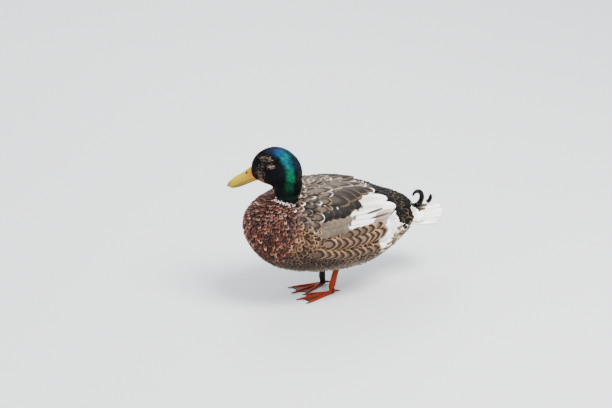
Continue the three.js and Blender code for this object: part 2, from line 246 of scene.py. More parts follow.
def step(x, low, high):
    """A smooth rise from 0 at low to 1 at high."""
    t = np.clip((x - low) / (high - low), 0, 1)
    return t * t * (3 - 2 * t)


def body_place(places):
    """Side, station and height of places, in mm: out from the middle, back from the breast, up."""
    return (np.abs(places[:, 0] - MIDDLE) / MM, (places[:, 1] - BREAST) / MM, places[:, 2] / MM)


def own_frame(places, frame_of):
    """The same places in a frame of their own, in mm."""
    turned = np.array(frame_of.inverted())
    return (places @ turned[:3, :3].T + turned[:3, 3]) / MM


def head_local(places):
    """The same places in the head's own frame, in mm."""
    return own_frame(places, head_place)


outline = worked(cad_copy("outline", (*FLESH, "tail")), "REMESH", mode="VOXEL",
                 voxel_size=HIDE_MESH)
outline = worked(largest_body(outline), "SMOOTH", factor=0.5, iterations=HIDE_SMOOTHING)
outline.data.shade_smooth()


def on_head(places):
    """1 on the head, 0 on the trunk, with the neck between them."""
    local = head_local(places)
    apart = np.linalg.norm((local - (0, 30, 0)) / (1.0, 1.35, 1.15), axis=1)
    return 1 - step(apart, 30, 62)


def coat_depth(places):
    """How deep the plumage is at each place: least round the bill, most on the trunk."""
    station = body_place(places)[1]
    head = on_head(places)
    face = step(head_local(places)[:, 1], 2, 26)
    feathered = FACE_COAT + (NAPE_COAT - FACE_COAT) * face
    depth = TRUNK_COAT * (1 - head) + feathered * head
    return (depth + (DOCK_COAT - depth) * step(station, 225, 240)) * MM


bm = bmesh.new()
bm.from_mesh(outline.data)
cut = bmesh.ops.bisect_plane(bm, geom=bm.verts[:] + bm.edges[:] + bm.faces[:], dist=1e-6,
                             plane_co=(0, DOCK, 0), plane_no=(0, 1, 0), clear_outer=True)
edges = [e for e in cut["geom_cut"] if isinstance(e, bmesh.types.BMEdge)]
bmesh.ops.holes_fill(bm, edges=edges)
bmesh.ops.triangulate(bm, faces=bm.faces[:])
skin = new_object("skin", bm)
places = points_of(skin)
places -= points_of(skin, "normal") * coat_depth(places)[:, None]
skin.data.vertices.foreach_set("co", places.ravel())
skin.data.shade_smooth()

bpy.context.view_layer.objects.active = skin
skin.select_set(True)
bpy.ops.object.mode_set(mode="EDIT")
bpy.ops.mesh.select_all(action="SELECT")
bpy.ops.uv.smart_project(angle_limit=math.radians(75), island_margin=0.003)
bpy.ops.object.mode_set(mode="OBJECT")
skin.data.uv_layers[0].name = "OFBake"


BILL_SOURCE = 15 * MM  # what lies this near the bill's root pours out the lie of the feathers
TAIL_DRAIN = 300  # the station past which the lie drains away, in mm
FLOW_ROUNDS, FLOW_ERROR, LIE_SMOOTHING = 1500, 1e-14, 8


def lie_on(obj):
    """Which way feathers lie: down the steady flow of something poured out at the bill that
    drains away at the tip of the tail, found by conjugate gradients over the mesh's edges."""
    spots = points_of(obj)
    ends = np.zeros(len(obj.data.edges) * 2, np.int32)
    obj.data.edges.foreach_get("vertices", ends)
    a, b = ends.reshape(-1, 2).T
    station = body_place(spots)[1]
    source = np.linalg.norm(spots - np.array(BILL_ROOT), axis=1) < BILL_SOURCE
    drain = station > TAIL_DRAIN
    level = np.where(source, 0.0, np.where(drain, 1.0, 0.5))
    free = ~(source | drain)

    def outflow(x):
        apart = x[a] - x[b]
        count = len(x)
        return (np.bincount(a, apart, count) - np.bincount(b, apart, count)) * free

    left = -outflow(level)
    search, size = left.copy(), left @ left
    for _ in range(FLOW_ROUNDS):
        pushed = outflow(search * free)
        length = size / (search @ pushed)
        level += length * search
        left -= length * pushed
        before, size = size, left @ left
        if size < FLOW_ERROR:
            break
        search = left + size / before * search
    along = spots[b] - spots[a]
    weight = ((level[b] - level[a]) / (along ** 2).sum(1))[:, None] * along
    flow = np.zeros_like(spots)
    for axis in range(3):
        flow[:, axis] = (np.bincount(a, weight[:, axis], len(spots))
                         + np.bincount(b, weight[:, axis], len(spots)))
    outward = points_of(obj, "normal")
    for _ in range(LIE_SMOOTHING):
        flow = unit(flow - (flow * outward).sum(1)[:, None] * outward)
        total = flow.copy()
        for axis in range(3):
            total[:, axis] += (np.bincount(a, flow[b, axis], len(spots))
                               + np.bincount(b, flow[a, axis], len(spots)))
        flow = total
    return unit(flow - (flow * outward).sum(1)[:, None] * outward)


outline_spots = points_of(outline)
outline_outward = points_of(outline, "normal")
outline_lie = lie_on(outline)
store(outline.data, "outward", outline_outward)


def shade(code):
    """A hex value as linear red, green and blue."""
    return np.array(colour(code)[:3])


def laid(under, code, share):
    """Colours with another laid over them by a share for each place."""
    return under + (shade(code) - under) * np.clip(share, 0, 1)[:, None]


def round_neck(places):
    """The way a place lies from the neck's middle: 0 ahead, 90 left, 180 behind, in degrees."""
    return np.degrees(np.arctan2((places[:, 0] - MIDDLE) / MM - 2,
                                 66 - (places[:, 1] - BREAST) / MM))


def hood_edge(places):
    """How far a place is above the lower edge of the green hood, in mm."""
    edge = np.interp(round_neck(places), [-180, -120, -60, -15, 5, 17, 50, 79, 97, 115, 180],
                     [188, 182, 178, 180, 175, 165, 163, 161, 170, 183, 188])
    return places[:, 2] / MM - edge


def breast_edge(places):
    """How far a place is behind the edge of the rufous breast, in mm."""
    _, station, height = body_place(places)
    return station - 0.38 * (height - 154) - 60


def rump_edge(places):
    """How far a place is above the lower edge of the black rump, in mm."""
    _, station, height = body_place(places)
    return height - np.interp(station, [188, 194, 203, 212, 224, 232, 240, 250, 264],
                              [230, 150, 138, 125, 103, 91, 94, 105, 112])


def ground(places):
    """The colour of the skin at each place, near that of the plumage over it."""
    side, station, height = body_place(places)
    tone = np.tile(shade("#5d4836"), (len(places), 1))
    # Grey-brown back, warm flanks, plain belly.
    tone = laid(tone, "#4f453d", step(height, 136, 156))
    tone = laid(tone, "#675c50", 1 - step(height, 60, 72))
    # Rufous breast.
    tone = laid(tone, "#35190f", 1 - step(breast_edge(places), -6, 6))
    # White patch of the rear flank, buff vent, white tail, black rump.
    flank = step(station, 190, 200) * (1 - step(station, 226, 236)) * step(side, 26, 38)
    tone = laid(tone, "#efedec", flank * step(height, 66, 76) * (1 - step(height, 130, 140)))
    tone = laid(tone, "#8a7a68", step(station, 222, 232) * (1 - step(height, 88, 94)))
    tone = laid(tone, "#f4f1ec", step(station, 226, 234) * step(height, 88, 94))
    tone = laid(tone, "#1c1715", step(rump_edge(places), -2, 2) * (station < 262))
    # Dark hood.
    tone = laid(tone, "#0c1413", step(hood_edge(places), -1.5, 1.5) * (station < 130))
    return tone


def paint(obj, name, tones):
    """Stores a colour for each vertex."""
    store(obj.data, name, np.column_stack([tones, np.ones(len(tones))]))


paint(skin, "tint", ground(points_of(skin)))
# Bird skin: thin, dull and slightly pimpled where feathers leave it.
hide, tree, shader = material("feathered_bird_skin")
tint = add(tree, "ShaderNodeAttribute", output="Color", attribute_name="tint")
pimples = add(tree, "ShaderNodeTexVoronoi", {"Scale": 1 / (2.2 * MM)}, "Distance")
darker = add(tree, "ShaderNodeMix", {"Factor": 0.35, "A": tint, "B": colour("#3a302a")},
             data_type="RGBA", blend_type="MULTIPLY")
bump = add(tree, "ShaderNodeBump", {"Strength": 0.3, "Distance": 0.3 * MM, "Height": pimples})
fill(shader, {"Base Color": darker, "Normal": bump, "Roughness": 0.7})
skin.data.materials.append(hide)
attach(skin, "root")
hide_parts(*FLESH)

# ---- Small feathers of the breast --------------------------------------------
# Contour feathers: a soft blade on a fine shaft, evenly scattered over the hide, each tip
# lying over the roots behind it. The breast's are short, rufous with a dark heart.


def vane(label, rows, columns, widest, taper, blunt, ragged, seed):
    """A closed feather blade, one unit wide and long, root at y -0.5 and tip at y 0.5. The
    attributes along, across and proud say where on the blade each vertex is."""
    rng = np.random.default_rng(seed)
    # Rows stand closer toward the root and the tip.
    along = 0.5 - 0.5 * np.cos(np.linspace(0.08, 0.97, rows) * math.pi)
    past = np.where(along < widest, 1 - along / widest, (along - widest) / (1 - widest))
    power = np.where(along < widest, taper, blunt)
    half = 0.5 * (1 - past ** power) ** (1 / power)
    across = np.linspace(-1, 1, columns)
    x = np.outer(half, across)
    y = np.repeat(along[:, None] - 0.5, columns, 1)
    x[:, 0] *= 1 - ragged * rng.random(rows)
    x[:, -1] *= 1 - ragged * rng.random(rows)
    y[-1] -= 0.25 * ragged * rng.random(columns)
    y[-2, 1:-1] += 0.1 * ragged * rng.random(columns - 2)
    inner = [(r, c) for r in range(1, rows - 1) for c in range(1, columns - 1)]
    count = rows * columns
    lower = {spot: count + i for i, spot in enumerate(inner)}
    spots = [(r, c) for r in range(rows) for c in range(columns)] + inner
    mesh = bpy.data.meshes.new(label)
    faces = []
    for r in range(rows - 1):
        for c in range(columns - 1):
            ring = [(r, c), (r, c + 1), (r + 1, c + 1), (r + 1, c)]
            faces.append([i * columns + j for i, j in ring])
            faces.append([lower.get((i, j), i * columns + j) for i, j in reversed(ring)])
    mesh.from_pydata([(x[s], y[s], 0) for s in spots], [], faces)
    proud = [1.0 if s in lower else 0.0 for s in spots[:count]] + [-1.0] * len(inner)
    store(mesh, "along", [along[r] for r, c in spots])
    store(mesh, "across", [across[c] for r, c in spots])
    store(mesh, "proud", proud)
    return bpy.data.objects.new(label, mesh)


def clutch(label, count, **shape):
    """A collection of blades of one kind, each a little different at its edges."""
    made = bpy.data.collections.new(label)
    for i in range(count):
        made.objects.link(vane(f"{label}_{i}", seed=i + 1, **shape))
    return made


ROOT_CURVE = 1.5  # how quickly a blade climbs out of the coat from its root


def plumage_tree():
    """Sets blades on points, lays them on the bird's outline and gives each its place on the
    bake map. Points carry outward, lie, span (width and length), lift and three tints."""
    tree = bpy.data.node_groups.new("plumage", "GeometryNodeTree")
    face = tree.interface
    for name, kind in (("Geometry", "Geometry"), ("Blades", "Collection"), ("Outline", "Object"),
                       ("Hide", "Object"), ("Root Depth", "Float"), ("Camber", "Float"),
                       ("Thickness", "Float"), ("Hug", "Float"), ("Stray", "Float"),
                       ("Patch", "Float"), ("Seed", "Int"), ("Finish", "Material")):
        face.new_socket(name, in_out="INPUT", socket_type=f"NodeSocket{kind}")
    face.new_socket("Geometry", in_out="OUTPUT", socket_type="NodeSocketGeometry")
    given = tree.nodes.new("NodeGroupInput").outputs
    outward, lie, span, seat, unwrap = (
        add(tree, "GeometryNodeInputNamedAttribute", {"Name": name}, data_type="FLOAT_VECTOR")
        for name in ("outward", "lie", "span", "seat", "OFBake"))
    along, across, proud, lift = (
        add(tree, "GeometryNodeInputNamedAttribute", {"Name": name}, data_type="FLOAT")
        for name in ("along", "across", "proud", "lift"))
    hide_mesh, outline_mesh = (
        add(tree, "GeometryNodeObjectInfo", {"Object": given[name]}, "Geometry")
        for name in ("Hide", "Outline"))
    # The seat of each root on the hide's unwrap.
    under = add(tree, "GeometryNodeSampleNearestSurface", {"Mesh": hide_mesh, "Value": unwrap},
                data_type="FLOAT_VECTOR")
    seated = add(tree, "GeometryNodeStoreNamedAttribute",
                 {"Geometry": given["Geometry"], "Name": "seat", "Value": under},
                 data_type="FLOAT_VECTOR", domain="POINT")
    # Each blade's Z is outward and its Y runs with the lie, give or take a stray turn.
    square = add(tree, "FunctionNodeAxesToRotation",
                 {"Primary Axis": outward, "Secondary Axis": lie},
                 primary_axis="Z", secondary_axis="Y")
    least = add(tree, "ShaderNodeMath", (given["Stray"], -1.0), operation="MULTIPLY")
    turn = add(tree, "FunctionNodeRandomValue",
               {"Min": least, "Max": given["Stray"], "Seed": given["Seed"]}, data_type="FLOAT")
    about = add(tree, "FunctionNodeAxisAngleToRotation", {"Axis": (0, 0, 1), "Angle": turn})
    turned = add(tree, "FunctionNodeRotateRotation", {"Rotation": square, "Rotate By": about},
                 rotation_space="LOCAL")
    pick = add(tree, "FunctionNodeRandomValue", {"Min": 0, "Max": 99, "Seed": given["Seed"]},
               data_type="INT")
    blades = add(tree, "GeometryNodeCollectionInfo",
                 {"Collection": given["Blades"], "Separate Children": True,
                  "Reset Children": True})
    feathers = add(tree, "GeometryNodeInstanceOnPoints",
                   {"Points": seated, "Instance": blades, "Pick Instance": True,
                    "Instance Index": pick, "Rotation": turned, "Scale": span})
    real = add(tree, "GeometryNodeRealizeInstances", {"Geometry": feathers})
    # Each vertex drops onto the outline, as far as its blade hugs it.
    place = add(tree, "GeometryNodeInputPosition")
    outline_way = add(tree, "GeometryNodeSampleNearestSurface",
                      {"Mesh": outline_mesh, "Value": outward}, data_type="FLOAT_VECTOR")
    outline_place = add(tree, "GeometryNodeProximity", {"Geometry": outline_mesh}, "Position",
                        target_element="FACES")
    stand, up = (
        add(tree, "ShaderNodeMix", {"Factor": given["Hug"], "A": own, "B": outlined},
            data_type="VECTOR")
        for own, outlined in ((place, outline_place), (outward, outline_way)))
    # Then it rises by its half thickness and its lift, and drops to its root depth and by the
    # blade's camber.
    body = add(tree, "ShaderNodeMath", (proud, given["Thickness"]), operation="MULTIPLY")
    rise = add(tree, "ShaderNodeMath", (lift, along, body), operation="MULTIPLY_ADD")
    rooted = add(tree, "ShaderNodeMath", (1.0, along), operation="SUBTRACT")
    rooted = add(tree, "ShaderNodeMath", (rooted, ROOT_CURVE), operation="POWER")
    sunk = add(tree, "ShaderNodeMath", (rooted, given["Root Depth"]), operation="MULTIPLY")
    bowed = add(tree, "ShaderNodeMath", (across, across), operation="MULTIPLY")
    drop = add(tree, "ShaderNodeMath", (bowed, given["Camber"], sunk), operation="MULTIPLY_ADD")
    height = add(tree, "ShaderNodeMath", (rise, drop), operation="SUBTRACT")
    raised = add(tree, "ShaderNodeVectorMath", {"Vector": up, "Scale": height},
                 operation="SCALE")
    placed = add(tree, "ShaderNodeVectorMath", (stand, raised), operation="ADD")
    laid_out = add(tree, "GeometryNodeSetPosition", {"Geometry": real, "Position": placed})
    # The bake map: a small patch for each blade, at its seat.
    half = add(tree, "ShaderNodeMath", (across, 0.5), operation="MULTIPLY")
    behind = add(tree, "ShaderNodeMath", (along, 0.5), operation="SUBTRACT")
    local = add(tree, "ShaderNodeCombineXYZ", (half, behind))
    patch = add(tree, "ShaderNodeVectorMath", {"Vector": local, "Scale": given["Patch"]},
                operation="SCALE")
    spot = add(tree, "ShaderNodeVectorMath", (seat, patch), operation="ADD")
    mapped = add(tree, "GeometryNodeStoreNamedAttribute",
                 {"Geometry": laid_out, "Name": "OFBake", "Value": spot},
                 data_type="FLOAT2", domain="CORNER")
    done = add(tree, "GeometryNodeSetMaterial",
               {"Geometry": mapped, "Material": given["Finish"]})
    tree.links.new(done, tree.nodes.new("NodeGroupOutput").inputs[0])
    return tree


def finder(spots):
    """A tree that finds which of the spots are near a place."""
    tree = KDTree(len(spots))
    for i, spot in enumerate(spots):
        tree.insert(spot, i)
    tree.balance()
    return tree


PLUMAGE = plumage_tree()
outline_finder = finder(outline_spots)


def plant(label, roots, tints, blades, finish, rng, slot, seed, width, length, lift, lie=None,
          outward=None, depth=1.0, camber=0.06, thick=0.25, hug=1.0, stray=0.15, patch=0.003):
    """Grows one piece of plumage. Roots are the places that the middles of the blades stand
    over, and tints are the colours of the blade's middle, fringe and mark. Width, length and
    lift are in mm: one for all, one for each feather, or a pair to draw between. Depth is a
    share of the coat's depth and camber one of the width, thick is in mm, hug says how closely a
    blade keeps to the outline, stray is in radians, and patch is the side of a blade's place on
    the bake map."""
    count = len(roots)
    width, length, lift = (
        rng.uniform(*size, count) if isinstance(size, tuple)
        else np.broadcast_to(size, count).astype(float) for size in (width, length, lift))
    nearest = [outline_finder.find(spot)[1] for spot in roots]
    outward = outline_outward[nearest] if outward is None else outward
    lie = outline_lie[nearest] if lie is None else unit(lie)
    mesh = bpy.data.meshes.new(label)
    mesh.from_pydata(roots.tolist(), [], [])
    span = np.stack([width * MM, length * MM, np.ones(count)], 1)
    for name, values in (("outward", outward), ("lie", lie), ("span", span),
                         ("lift", lift * MM)):
        store(mesh, name, values)
    piece = bpy.data.objects.new(label, mesh)
    scene.collection.objects.link(piece)
    for name, tones in zip(("tint", "fringe", "mark"), tints):
        paint(piece, name, tones)
    modifier = piece.modifiers.new("plumage", "NODES")
    modifier.node_group = PLUMAGE
    deep = float(coat_depth(roots).mean()) * depth
    inputs = {"Blades": blades, "Outline": outline, "Hide": skin, "Root Depth": deep,
              "Camber": camber * float(width.mean()) * MM, "Thickness": thick * MM, "Hug": hug,
              "Stray": stray, "Patch": patch, "Seed": seed, "Finish": finish}
    for item in PLUMAGE.interface.items_tree:
        if item.name in inputs:
            modifier[item.identifier] = inputs[item.name]
    grown = settled(piece, modifier).data
    for name in ("outward", "lie", "span", "lift", "seat", "proud"):
        if name in grown.attributes:
            grown.attributes.remove(grown.attributes[name])
    grown.shade_smooth()
    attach(piece, "root")
    return piece


TRIES = 6  # places drawn for each square of the spacing


def scatter(where, spacing, seed):
    """Roots over the part of the outline where where(places) holds, no two nearer than the
    spacing in mm, which is a number or a function of the places."""
    rng = np.random.default_rng(seed)
    mesh = outline.data
    mesh.calc_loop_triangles()
    corners = np.zeros(len(mesh.loop_triangles) * 3, np.int32)
    mesh.loop_triangles.foreach_get("vertices", corners)
    a, b, c = (outline_spots[i] for i in corners.reshape(-1, 3).T)
    inside = where((a + b + c) / 3)
    a, b, c = a[inside], b[inside], c[inside]
    area = np.linalg.norm(np.cross(b - a, c - a), axis=1) / 2
    gap = spacing((a + b + c) / 3) if callable(spacing) else np.full(len(a), float(spacing))
    weight = area / gap ** 2
    count = int(TRIES * weight.sum() / MM ** 2)
    drawn = rng.choice(len(a), size=count, p=weight / weight.sum())
    p, q = rng.random((2, count, 1))
    p, q = np.where(p + q > 1, 1 - p, p), np.where(p + q > 1, 1 - q, q)
    spots = a[drawn] * (1 - p - q) + b[drawn] * p + c[drawn] * q
    gap = gap[drawn]
    near = finder(spots)
    open_yet = np.ones(count, bool)
    kept = []
    for i in range(count):
        if open_yet[i]:
            kept.append(i)
            for _, other, _ in near.find_range(spots[i], gap[i] * MM):
                open_yet[other] = False
    return spots[kept]


def mix_of(codes, count, rng, weights=None):
    """A colour from the list for each feather, with its own small change of brightness."""
    picked = rng.choice(len(codes), size=count, p=weights)
    tones = np.array([shade(code) for code in codes])[picked]
    return tones * rng.uniform(0.82, 1.2, (count, 1))


BARB_SLANT = 0.45  # how far a barb runs back for each step out
WAVE = 0.3  # how far streaks shift the bands
RIDGES = 190.0  # about thirty barbs along a blade, in radians


def feather_finish(label, fringe=(0.62, 0.86), mark=(-1.0, -0.9, 0.3, 0.55), heart=0.5,
                   barbs=0.25, shaft=0.15, roughness=0.62, metallic=0.0, specular=0.18):
    """Keratin barbs, matt with a faint sheen. The fringe and the mark are bands of distance
    from the heart of the blade, which lies at heart along the shaft; shaft is how clearly the
    shaft itself shows."""
    made, tree, shader = material(label)
    along, across = (add(tree, "ShaderNodeAttribute", output="Fac", attribute_name=name)
                     for name in ("along", "across"))
    tone, fringe_tone, mark_tone = (
        add(tree, "ShaderNodeAttribute", output="Color", attribute_name=name)
        for name in ("tint", "fringe", "mark"))
    beyond = add(tree, "ShaderNodeMapRange",
                 {"Value": along, "From Min": heart, "From Max": 1.0})
    apart = add(tree, "ShaderNodeCombineXYZ", (across, beyond))
    far = add(tree, "ShaderNodeVectorMath", (apart,), "Value", operation="LENGTH")
    # Barbs run out and back from the shaft. Drawn coarser than the real 0.3 mm, to show.
    aside = add(tree, "ShaderNodeMath", (across,), operation="ABSOLUTE")
    line = add(tree, "ShaderNodeMath", (aside, -BARB_SLANT, along), operation="MULTIPLY_ADD")
    place = add(tree, "ShaderNodeCombineXYZ", (across, line))
    place = add(tree, "ShaderNodeVectorMath", (place, (0.8, 16.0, 0.0)), operation="MULTIPLY")
    # Each feather's tint moves the streaks, so that no two are streaked alike.
    own = add(tree, "ShaderNodeAttribute", output="Vector", attribute_name="tint")
    own = add(tree, "ShaderNodeVectorMath", (own, (97.0, 61.0, 83.0), place),
              operation="MULTIPLY_ADD")
    streaks = add(tree, "ShaderNodeTexNoise", {"Vector": own, "Scale": 1.6, "Detail": 3.0}, "Fac")
    far = add(tree, "ShaderNodeMath", (far, WAVE / 2), operation="SUBTRACT")
    wavy = add(tree, "ShaderNodeMath", (streaks, WAVE, far), operation="MULTIPLY_ADD")
    inner, outer, edged, quill = (
        add(tree, "ShaderNodeMapRange",
            {"Value": value, "From Min": low, "From Max": high, "To Min": first, "To Max": last},
            interpolation_type="SMOOTHSTEP")
        for value, low, high, first, last in (
            (wavy, *mark[:2], 0.0, 1.0), (wavy, *mark[2:], 1.0, 0.0), (wavy, *fringe, 0.0, 1.0),
            (aside, 0.02, 0.1, shaft, 0.0)))
    marked = add(tree, "ShaderNodeMath", (inner, outer), operation="MULTIPLY")
    for share, top in ((marked, mark_tone), (edged, fringe_tone), (quill, mark_tone)):
        tone = add(tree, "ShaderNodeMix", {"Factor": share, "A": tone, "B": top},
                   data_type="RGBA")
    bright = add(tree, "ShaderNodeMath", (streaks, 2 * barbs, 1 - barbs),
                 operation="MULTIPLY_ADD")
    tone = add(tree, "ShaderNodeVectorMath", {"Vector": tone, "Scale": bright},
               operation="SCALE")
    # Painted shade: a gamma darkens the tones, the darker ones most, for light caught between the
    # barbs.
    tone = add(tree, "ShaderNodeGamma", {"Color": tone, "Gamma": 1.25})
    ribs = add(tree, "ShaderNodeMath", (line, RIDGES), operation="MULTIPLY")
    ribs = add(tree, "ShaderNodeMath", (ribs,), operation="SINE")
    bump = add(tree, "ShaderNodeBump", {"Strength": 0.25, "Distance": 0.1 * MM, "Height": ribs})
    fill(shader, {"Base Color": tone, "Normal": bump, "Roughness": roughness,
                  "Metallic": metallic, "Specular IOR Level": specular})
    return made


SMALL_BLADES = clutch("small_blades", 4, rows=7, columns=5, widest=0.66, taper=1.5, blunt=2.3,
                      ragged=0.22)
breast_feather = feather_finish("rufous_breast_feather", fringe=(0.6, 1.0),
                                mark=(-1, -0.9, 0.4, 0.75), barbs=0.35, roughness=0.7)


def on_breast(places):
    height = places[:, 2] / MM
    return (breast_edge(places) < 3) & (hood_edge(places) < 2) & (height > 55)


rng = np.random.default_rng(11)
roots = scatter(on_breast, spacing=3.7, seed=12)
count = len(roots)
hearts = mix_of(["#120909", "#1c0f0e", "#3c1f12", "#1f1516", "#0d0709"], count, rng)
fringes = mix_of(["#6d3c2c", "#80503d", "#46291f", "#a07b6a", "#c9b1a6", "#2e1d22"], count, rng,
                 [0.27, 0.22, 0.14, 0.17, 0.08, 0.12])
# Warmest low on the breast, more purple under the neck, and dark in blotches.
warm = (1 - step(roots[:, 2] / MM, 90, 150))[:, None]
hearts *= 1 + warm * (0.5, 0.1, -0.25)
fringes *= 1 + warm * (0.35, 0.02, -0.25)
fringes = laid(fringes, "#8c6f66", 0.55 * (1 - warm[:, 0]) * rng.random(count))
blotch = np.sin(roots / MM @ (0.31, 0.23, 0.37)) + np.sin(roots / MM @ (-0.17, 0.41, 0.29))
fringes *= (0.8 + 0.2 * blotch + rng.normal(0, 0.12, count))[:, None].clip(0.35, 1.5)
# Painted light and shade: the breast is painted lighter high up and darker low down, darkest toward
# the bottom.
breast_painted_shade = 0.55 + 0.45 * step(roots[:, 2] / MM, 62, 96)[:, None]
fringes *= (1.45 - 0.6 * warm) * breast_painted_shade
hearts *= (1.3 - 0.5 * warm) * breast_painted_shade
greyed = step(breast_edge(roots), -40, 0) * rng.random(count)
tints = [laid(tones, "#5b4d47", 0.5 * greyed) for tones in (fringes * 0.7, fringes, hearts)]
plant("breast_plumage", roots, tints, SMALL_BLADES, breast_feather, rng, slot="body_plumage",
      seed=13, width=(4.6, 7), length=(9, 12), lift=(0, 0.8), stray=0.38)

# ---- Flanks and belly --------------------------------------------------------
# The flanks' feathers are tan with a dark ring inside a buff edge, and grow toward the tail.
# The belly's are plain grey-brown and close set.


def wing_edge(places):
    """How far a place is above the lower edge of the folded wing, in mm."""
    _, station, height = body_place(places)
    lower = np.interp(station, [40, 60, 80, 105, 125, 183, 205, 225],
                      [134, 134, 122, 114, 113, 117, 122, 128])
    return height - lower


def on_flank(places):
    side, station, height = body_place(places)
    return ((breast_edge(places) > -3) & (wing_edge(places) < 4) & (height > 54) & (side > 18)
            & (station < np.interp(height, [54, 72, 80], [200, 184, 178])))


GROWTH = 0.02  # how much a flank feather gains for each mm toward the tail
flank_feather = feather_finish("scalloped_flank_feather", fringe=(0.72, 0.9),
                               mark=(0.1, 0.32, 0.5, 0.74), heart=0.55)
rng = np.random.default_rng(21)
roots = scatter(on_flank, spacing=lambda p: 4.6 + 0.014 * body_place(p)[1], seed=22)
count = len(roots)
_, station, height = body_place(roots)
hearts = mix_of(["#5f4a3a", "#6f5946", "#4d3b2f", "#806850"], count, rng)
fringes = mix_of(["#9c7c5c", "#ab8a68", "#8a6a4c", "#745a45"], count, rng)
rings = mix_of(["#1f1511", "#2b1f17", "#1a1210", "#3d2c20"], count, rng)
plain = 1 - step(height, 52, 66)
# Painted light and shade: flank feathers are painted darker where they are low and near the breast,
# and lighter high up under the wing.
flank_painted_light_and_shade = 0.42 + 0.58 * np.maximum(step(height, 70, 112), step(station, 90, 150))
flank_painted_light_and_shade += 0.4 * step(height, 92, 120)
hearts, fringes, rings = (tones * flank_painted_light_and_shade[:, None] for tones in (hearts, fringes, rings))
tints = [laid(tones, "#6e6052", 0.7 * plain) for tones in (hearts, fringes, rings)]
plant("flank_plumage", roots, tints, SMALL_BLADES, flank_feather, rng, slot="body_plumage",
      seed=23, width=rng.uniform(7.5, 10, count) + GROWTH * station,
      length=rng.uniform(13, 16, count) + GROWTH * station, lift=(0, 0.7), stray=0.26,
      patch=0.006)


def on_belly(places):
    side, station, height = body_place(places)
    return ((breast_edge(places) > -6) & (height < 66) & (station < 215)
            & ((height <= 56) | (side <= 22)))


belly_feather = feather_finish("grey_belly_feather", fringe=(0.7, 1.0), mark=(-1, -0.9, 0.1, 0.5))
rng = np.random.default_rng(31)
roots = scatter(on_belly, spacing=6.0, seed=32)
count = len(roots)
fringes = mix_of(["#8f8374", "#9c8d7b", "#7c7064"], count, rng)
hearts = mix_of(["#74685b", "#6a5f54", "#807364"], count, rng)
plant("belly_plumage", roots, (hearts, fringes, hearts * 0.8), SMALL_BLADES, belly_feather, rng,
      slot="body_plumage", seed=33, width=(9, 11), length=(15, 18), lift=(1.0, 2.4), patch=0.006)

# ---- Back and shoulders ------------------------------------------------------
# Worn grey-brown feathers with darker hearts, a few of them edged with white.


def on_back(places):
    side, station, height = body_place(places)
    white = ((station > 120) & (side > 16)
             & (height < np.interp(station, [120, 140, 160, 200], [124, 142, 154, 158])))
    return ((breast_edge(places) > -3) & (wing_edge(places) > 2) & (hood_edge(places) < 2)
            & (rump_edge(places) < 3) & (station < 206) & (height > 112) & ~white)


back_feather = feather_finish("grey_brown_back_feather", fringe=(0.6, 0.84),
                              mark=(-1, -0.9, 0.35, 0.62), heart=0.5)
rng = np.random.default_rng(41)
roots = scatter(on_back, spacing=6.6, seed=42)
count = len(roots)
_, station, height = body_place(roots)
fringes = mix_of(["#7c6c5b", "#8d7a66", "#b3a391", "#e6e0d8", "#63564b"], count, rng,
                 [0.36, 0.26, 0.12, 0.05, 0.21])
hearts = mix_of(["#29201b", "#3b312a", "#4b4037", "#1e1714"], count, rng)
bases = mix_of(["#5f544b", "#6d6053", "#564c45"], count, rng)
# The plain grey part of the folded wing.
grey = (wing_edge(roots) < 30) & (station > 70) & (station < 142) & (height < 146)
grey_tones = mix_of(["#776d63", "#7f756b"], count, rng)
fringes = np.where(grey[:, None], grey_tones * 1.06, fringes)
hearts = np.where(grey[:, None], grey_tones * 0.97, hearts)
bases = np.where(grey[:, None], grey_tones, bases)
plant("back_plumage", roots, (bases, fringes, hearts), SMALL_BLADES, back_feather, rng,
      slot="body_plumage", seed=43, width=(9, 12), length=(15, 19), lift=(0, 0.6), stray=0.14,
      patch=0.006)

# ---- Scapulars and wing coverts ----------------------------------------------
# Long shoulder feathers that cover the folded wing: broad, round-ended and overlapping like
# tiles. The upper ones are plain grey-brown, the lower ones darker.
outline_faces = BVHTree.FromObject(outline, bpy.context.evaluated_depsgraph_get())


def at(side, station, height):
    """The place on the outline nearest a side, station and height in mm."""
    spot = Vector((MIDDLE + side * MM, BREAST + station * MM, height * MM))
    return np.array(outline_faces.find_nearest(spot)[0])


def course(corners, count):
    """Places spread evenly along a line through a few corners, still in mm."""
    corners = np.array(corners, float)
    gone = np.concatenate([[0], np.cumsum(np.linalg.norm(np.diff(corners, axis=0), axis=1))])
    at_each = np.linspace(0, gone[-1], count)
    return np.stack([np.interp(at_each, gone, axis) for axis in corners.T], 1)


UNEVEN = 1.0  # how far a tip strays from its line, in mm


def tiles(label, rows, blades, finish, rng, slot, seed, **options):
    """Rows of large feathers on both sides. Each row gives the lines that its roots and its
    tips lie on, how many there are, their width, how proud they sit and their tints; stack is
    how much prouder each one sits than the one before it."""
    roots, lies, widths, lengths, lifts, tints = [], [], [], [], [], ([], [], [])
    for hand in (1, -1):
        for row in rows:
            starts = course(row["roots"], row["count"]) * (hand, 1, 1)
            ends = course(row["tips"], row["count"]) * (hand, 1, 1)
            for i, (start, end) in enumerate(zip(starts, ends)):
                end = end + rng.normal(0, UNEVEN, 3)
                start, end = at(*start), at(*end)
                roots.append((start + end) / 2)
                lies.append(end - start)
                lengths.append(np.linalg.norm(end - start) / MM * 1.05)
                widths.append(row["width"] * rng.uniform(0.93, 1.07))
                lifts.append(row["lift"] + row.get("stack", 0.0) * i)
                for tint, codes in zip(tints, row["tints"]):
                    tint.append(mix_of(codes, 1, rng)[0])
    plant(label, np.array(roots), [np.array(tint) for tint in tints], blades, finish, rng,
          slot, seed, np.array(widths), np.array(lengths), np.array(lifts),
          lie=np.array(lies), **options)


